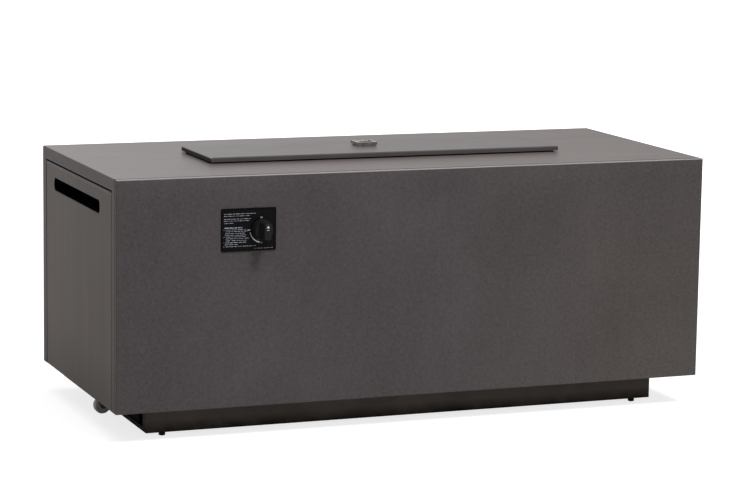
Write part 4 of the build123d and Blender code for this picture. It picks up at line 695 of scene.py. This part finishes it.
def die_cast():
    """As-cast aluminium: grainy skin, dull patches and shinier rubbed edges."""
    material, tree, shader = new_finish("die_cast_aluminium", metallic=1.0)
    grain = use(tree, patches, Scale=(800,) * 3, Detail=3.0, Low=0.3, High=0.7)
    clouds = use(tree, patches, Scale=(45, 45, 45), Detail=5.0, Low=0.35, High=0.65)
    edge = use(tree, worn_edges, Width=0.001, Start=0.04, Full=0.3, Break=150.0)
    body = tint(tree, clouds, (0.4, 0.4, 0.41), (0.55, 0.55, 0.55))
    colour = tint(tree, edge, body, (0.72, 0.72, 0.72))
    finish_surface(tree, shader, colour, ranged(tree, clouds, 0.5, 0.62), grain, 0.00008)
    return material


dress(die_cast(), "gas_valve")
dress(plated("stem_plate", (0.42, 0.42, 0.43), (0.56, 0.56, 0.56), (900, 50, 900)), "valve_stem")


# ------------------------------------------------------------------------------------------------
# Control plate: steel sheet with a raised rim, enamelled gloss black and printed in white round
# the knob: OFF at the top, a wedge that grows from high at the left to low at the bottom, and
# rows of plain ruled dashes on the left half.

def enamel():
    """Gloss enamel: near black, faint flow in it and fine scratches, and a band round its rim toned
    blacker as painted shade for the gap round the plate.
    """
    material, tree, shader = new_finish("black_enamel", specular=0.04)
    flow = use(tree, patches, Scale=(120, 120, 120), Detail=2.0, Low=0.3, High=0.7)
    scratch = use(tree, patches, Scale=(60, 60, 1500), Detail=1.0, Swirl=0.5, Low=0.68, High=0.72)
    edge = use(tree, worn_edges, Width=0.0006, Start=0.05, Full=0.4, Break=250.0)
    body = tint(tree, flow, (0.0042, 0.0039, 0.004), (0.006, 0.0056, 0.0058))
    worn = tint(tree, ranged(tree, edge, 0.0, 0.3), body, (0.02, 0.02, 0.02))
    # Painted shade: the band round the plate's rim is toned blacker.
    reach = (plate_high - plate_low) / 2
    inner = use(tree, box_mask, Middle=tuple((plate_low + plate_high) / 2),
                Half=(reach.x - plate_shade_band, 1.0, reach.z - plate_shade_band))
    colour = tint(tree, inner, (0.0012, 0.0006, 0.0008), worn)
    rough = summed(tree, (ranged(tree, flow, 0.22, 0.3), 1.0), (scratch, 0.2))
    finish_surface(tree, shader, colour, rough, flow, 0.00001)
    return material


def print_ink(name, thin, full, grain):
    """Screen-print ink: uneven cover with a matt tooth."""
    material, tree, shader = new_finish(name, specular=0.1)
    cover = use(tree, patches, Scale=(grain,) * 3, Detail=2.0, Low=0.3, High=0.6)
    colour = tint(tree, cover, thin, full)
    finish_surface(tree, shader, colour, ranged(tree, cover, 0.6, 0.5), cover, 0.00001)
    return material


plate_low, plate_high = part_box("control_plate")
# Width of the painted shade band round the plate's rim.
plate_shade_band = 0.0035
dress(enamel(), "control_plate")
white_print = print_ink("white_print", (0.66, 0.66, 0.68), (0.86, 0.86, 0.87), 1500.0)
faint_print = print_ink("faint_print", (0.13, 0.135, 0.19), (0.62, 0.63, 0.72), 260.0)

knob_low, knob_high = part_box("knob")
axis_x = (knob_low.x + knob_high.x) / 2
axis_z = (knob_low.z + knob_high.z) / 2
rim_height, ink_depth = 0.0008, 0.00005
print_back = plate_low.y + rim_height
print_front = print_back - ink_depth


def wedge_arc(near, far, start, end, thin, thick, front, back):
    """A flat wedge bent about the knob's axis: its radius grows from near to far and its width from
    thin to thick along the angle. Each row is the corners of its cross-section, front and back."""
    steps = 60
    turn = np.radians(np.linspace(start, end, steps))
    radius = np.linspace(near, far, steps)
    half = np.linspace(thin, thick, steps) / 2
    half[-3:] *= (0.95, 0.8, 0.45)
    inner, outer = radius - half, radius + half
    rings = np.stack([inner, outer, outer, inner], 1)
    depth = np.broadcast_to([front, front, back, back], rings.shape)
    return np.stack([axis_x + rings * np.cos(turn)[:, None], depth,
                     axis_z + rings * np.sin(turn)[:, None]], -1)


def dashes(lines, front, back):
    """Round-ended flat bars: each is an outline of two half circles, once in front and once behind.
    lines holds one (x from, x to, z, height) per bar."""
    x0, x1, z, tall = (np.array(lines).T[k][:, None, None] for k in range(4))
    turn = np.linspace(-math.pi / 2, 3 * math.pi / 2, 12, endpoint=False)[None, None, :]
    right = np.cos(turn) > 1e-9
    middle = np.where(right, x1 - tall / 2, x0 + tall / 2)
    x = middle + tall / 2 * np.cos(turn)
    height = z + tall / 2 * np.sin(turn)
    depth = np.array([front, back])[None, :, None]
    shape = np.broadcast_shapes(x.shape, depth.shape)
    return np.stack([np.broadcast_to(v, shape) for v in (x, depth, height)], -1)


wedge = wedge_arc(0.0269, 0.0284, 191.0, 262.0, 0.0006, 0.0033, print_front, print_back)
wedge_mark = piece("flame_wedge", surface("flame_wedge", wedge), white_print)
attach(wedge_mark, "table")


def ruled_lines(seed):
    """Plain dashes in rows, like ruled note lines: (start, end, height above the plate's foot,
    thickness), with gaps of a seeded random spacing, all in metres from the plate's left foot."""
    dice = np.random.default_rng(seed)
    rows = [(0.0065, 0.0800, 0.0833, 0.0011), (0.0065, 0.0690, 0.0786, 0.0010),
            (0.0065, 0.0686, 0.0720, 0.0010), (0.0065, 0.0660, 0.0677, 0.0009),
            (0.0065, 0.0284, 0.0628, 0.0009), (0.0080, 0.0527, 0.0525, 0.0022),
            (0.0105, 0.0570, 0.0482, 0.0008), (0.0105, 0.0610, 0.0445, 0.0009),
            (0.0090, 0.0560, 0.0402, 0.0009), (0.0090, 0.0580, 0.0360, 0.0008),
            (0.0105, 0.0560, 0.0325, 0.0008), (0.0105, 0.0655, 0.0287, 0.0009),
            (0.0105, 0.0590, 0.0244, 0.0008), (0.0090, 0.0610, 0.0200, 0.0011),
            (0.0090, 0.0420, 0.0157, 0.0009), (0.0105, 0.0800, 0.0112, 0.0009),
            (0.0760, 0.1200, 0.0052, 0.0008)]
    bars = []
    for start, end, height, thick in rows:
        at = start
        while at < end - 0.003:
            length = min(dice.uniform(0.005, 0.013), end - at)
            bars.append((plate_low.x + at, plate_low.x + at + length, plate_low.z + height, thick))
            at += length + dice.uniform(0.0012, 0.002)
    bullet_heights = (0.0482, 0.0325, 0.0200, 0.0112)
    return bars + [(plate_low.x + 0.006, plate_low.x + 0.0074, plate_low.z + height, 0.0013)
                   for height in bullet_heights]


ruled = surface("ruled_dashes", dashes(ruled_lines(3), print_front, print_back))
ruled_print = piece("ruled_dashes", ruled, faint_print)
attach(ruled_print, "table")


def lettering(name, words, size, x, z, front):
    """Extruded letters made a mesh, then stood up to face -Y with their middle at x, z."""
    curve = bpy.data.curves.new(name, "FONT")
    curve.body = words
    curve.size = size
    curve.align_x = "CENTER"
    curve.align_y = "CENTER"
    curve.extrude = 0.00002
    curve.offset = size * 0.02
    holder = bpy.data.objects.new(name, curve)
    mesh = bpy.data.meshes.new_from_object(holder)
    mesh.name = name
    bpy.data.objects.remove(holder)
    bpy.data.curves.remove(curve)
    mesh.transform(Matrix(((1, 0, 0, x), (0, 0, -1, front), (0, 1, 0, z), (0, 0, 0, 1))))
    return mesh


for words, x, z, size in (("OFF", -0.0004, 0.0267, 0.0036), ("HIGH", -0.0296, -0.0004, 0.003),
                          ("LO", -0.0002, -0.0293, 0.0026)):
    letters = lettering("print_" + words, words, size, axis_x + x, axis_z + z, print_front)
    word = piece("print_" + words, letters, white_print)
    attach(word, "table")


# ------------------------------------------------------------------------------------------------
# Knob: moulded black plastic with a skirt, a cone and a thick grip bar. A white triangle on the
# grip points at the setting, with a bar below it, and the skirt has one white tick.

knob_black = moulded("knob_black", (0.0078, 0.0078, 0.008), (0.0105, 0.0105, 0.0107),
                     texture=1400.0, roughness=(0.36, 0.44), specular=0.12, depth=0.00002)
dress(knob_black, "knob")

ink_front, ink_back = -0.00004, 0.00002


def flat_prism(corners, face):
    """A flat print on the knob: its corners, (x, z) from the axis, just in front of and behind the
    face at y."""
    x, z = np.array(corners).T
    return np.stack([np.stack([axis_x + x, np.full(len(x), face + step), axis_z + z], -1)
                     for step in (ink_front, ink_back)])


grip_face = knob_low.y
triangle = flat_prism([(-0.0036, 0.0090), (0.0036, 0.0090), (0.0, 0.0145)], grip_face)
pointer_mark = piece("pointer_triangle", surface("pointer_triangle", triangle), white_print)
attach(pointer_mark, "gas_knob")

grip_bar = dashes([(axis_x - 0.0030, axis_x + 0.0030, axis_z + 0.0047, 0.0014)],
                  grip_face + ink_front, grip_face + ink_back)
grip_mark = piece("pointer_bar", surface("pointer_bar", grip_bar), faint_print)
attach(grip_mark, "gas_knob")

skirt_face = knob_high.y - 0.003
tick = flat_prism([(-0.0221, -0.0018), (-0.0209, -0.0018), (-0.0209, 0.0022), (-0.0221, 0.0022)],
                  skirt_face)
tick_mark = piece("skirt_tick", surface("skirt_tick", tick), white_print)
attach(tick_mark, "gas_knob")


# ------------------------------------------------------------------------------------------------
# Lid: pressed steel with rolled-down edges and a stiffener welded inside, powder coated dark. It
# rests on rubber bumpers over the fire pan and lifts off by hand. The steel inside it is black. Its
# end faces are toned darker, painted shade, and its arris facing up, left and front is paler, a
# painted highlight.

lid_coat = powder_coat("lid_coat", (0.108, 0.096, 0.097), (0.12, 0.106, 0.108), (0.24, 0.22, 0.215),
                       ripple=260.0, specular=0.01)
lid_tree = lid_coat.node_tree
lid_shader = lid_tree.nodes["Principled BSDF"]
sealed_top(lid_tree, lid_shader, 0.5, 0.24)
lid_plain = lid_shader.inputs["Base Color"].links[0].from_socket
# Painted shade on the end faces, and a painted highlight on the arris facing up, left and front.
lid_end_shade = use(lid_tree, facing, Direction=(-1, 0, 0), Start=0.7, Full=0.95)
lid_arris_highlight = use(lid_tree, facing, Direction=(-0.6, -0.37, 0.7071), Start=0.82, Full=0.95)
lid_tone = tint(lid_tree, lid_end_shade, lid_plain, (0.073, 0.069, 0.06))
lid_tone = tint(lid_tree, ranged(lid_tree, lid_arris_highlight, 0.0, 0.7), lid_tone, (0.42, 0.4, 0.38))
lid_tree.links.new(lid_tone, lid_shader.inputs["Base Color"])
dress(lid_coat, "lid_plate")
dress(frame_coat, "lid_stiffener")
dress(moulded("bumper_rubber", (0.012, 0.012, 0.012), (0.018, 0.018, 0.018), roughness=(0.7, 0.8)),
      "lid_bumpers")


# ------------------------------------------------------------------------------------------------
# Lid pull: a rectangular ring hinged on a pin over a base plate, die cast and plated black nickel.
# It lies flat when the lid is on and folds up to be lifted by two fingers.

black_nickel = plated("black_nickel", (0.15, 0.137, 0.133), (0.23, 0.212, 0.206),
                      (700, 120, 120), (0.16, 0.28))
dress(black_nickel, "pull_base", "pull_ring", "pull_pin", "pull_screws")


# ------------------------------------------------------------------------------------------------
# Studio: a white floor that keeps the table's soft shadow, white surroundings, a very soft lamp
# overhead and a smaller one high in front.

def seen_directly(tree):
    """1 for camera, mirror and transmission rays, 0 for the rays that light the table."""
    rays = put(tree, "ShaderNodeLightPath").outputs
    seen = calc(tree, "MAXIMUM", rays["Is Camera Ray"], rays["Is Glossy Ray"])
    return calc(tree, "MAXIMUM", seen, rays["Is Transmission Ray"])


def pale_floor():
    """White floor: lit as it is, with a glow for camera and mirror rays that grows to full white
    away from the table."""
    material = bpy.data.materials.new("studio_floor")
    material.use_nodes = True
    tree = material.node_tree
    tree.nodes.clear()
    far = remap(tree, vector_calc(tree, "LENGTH", position(tree)), 1.2, 3.0, 0.78, 1.0)
    glow = calc(tree, "MULTIPLY", seen_directly(tree), far)
    lit = put(tree, "ShaderNodeBsdfDiffuse", {"Color": (0.5, 0.5, 0.5, 1.0)})
    shine = put(tree, "ShaderNodeEmission", {"Color": (1.0, 1.0, 1.0, 1.0), "Strength": glow})
    both = put(tree, "ShaderNodeAddShader", {0: lit.outputs[0], 1: shine.outputs[0]})
    put(tree, "ShaderNodeOutputMaterial", {"Surface": both.outputs[0]})
    return material


side = np.linspace(-60.0, 60.0, 3)
floor_x, floor_y = np.meshgrid(side, side, indexing="ij")
floor_points = np.stack([floor_y, floor_x, np.zeros((3, 3))], -1)
floor_mesh = surface("floor", floor_points, ring=False, caps=False)
floor = piece("floor", floor_mesh, pale_floor())

world = bpy.data.worlds.new("studio")
bpy.context.scene.world = world
world.use_nodes = True
strength = ranged(world.node_tree, seen_directly(world.node_tree), 0.28, 1.0)
background = world.node_tree.nodes["Background"]
background.inputs["Color"].default_value = (1.0, 1.0, 1.0, 1.0)
world.node_tree.links.new(strength, background.inputs["Strength"])


def lamp(name, energy, angle, tilt, turn, mirrored):
    """A broad sun lamp that shines down, tipped by tilt from straight down and turned about Z."""
    data = bpy.data.lights.new(name, "SUN")
    data.energy = energy
    data.angle = math.radians(angle)
    holder = bpy.data.objects.new(name, data)
    holder.rotation_euler = (math.radians(tilt), 0.0, math.radians(turn))
    holder.visible_glossy = mirrored
    bpy.context.scene.collection.objects.link(holder)


lamp("overhead", 1.35, 60.0, 6.0, 0.0, False)
lamp("high_front", 1.45, 12.0, 33.0, 20.0, True)


# ------------------------------------------------------------------------------------------------
# Camera: a long lens a little above the top, to the left of the front.

yaw, pitch, roll = math.radians(21.495), math.radians(9.194), math.radians(0.859)
camera = bpy.data.objects.new("camera", bpy.data.cameras.new("camera"))
bpy.context.scene.collection.objects.link(camera)
camera.data.lens = 130.28
camera.data.sensor_width = 36.0
camera.data.clip_end = 200.0
camera.matrix_world = (
    Matrix.Translation((-2.3097, -5.9001, 1.3906)) @ Matrix.Rotation(-yaw, 4, "Z")
    @ Matrix.Rotation(math.pi / 2 - pitch, 4, "X") @ Matrix.Rotation(roll, 4, "Z"))
bpy.context.scene.camera = camera
bpy.context.scene.view_settings.view_transform = "Standard"
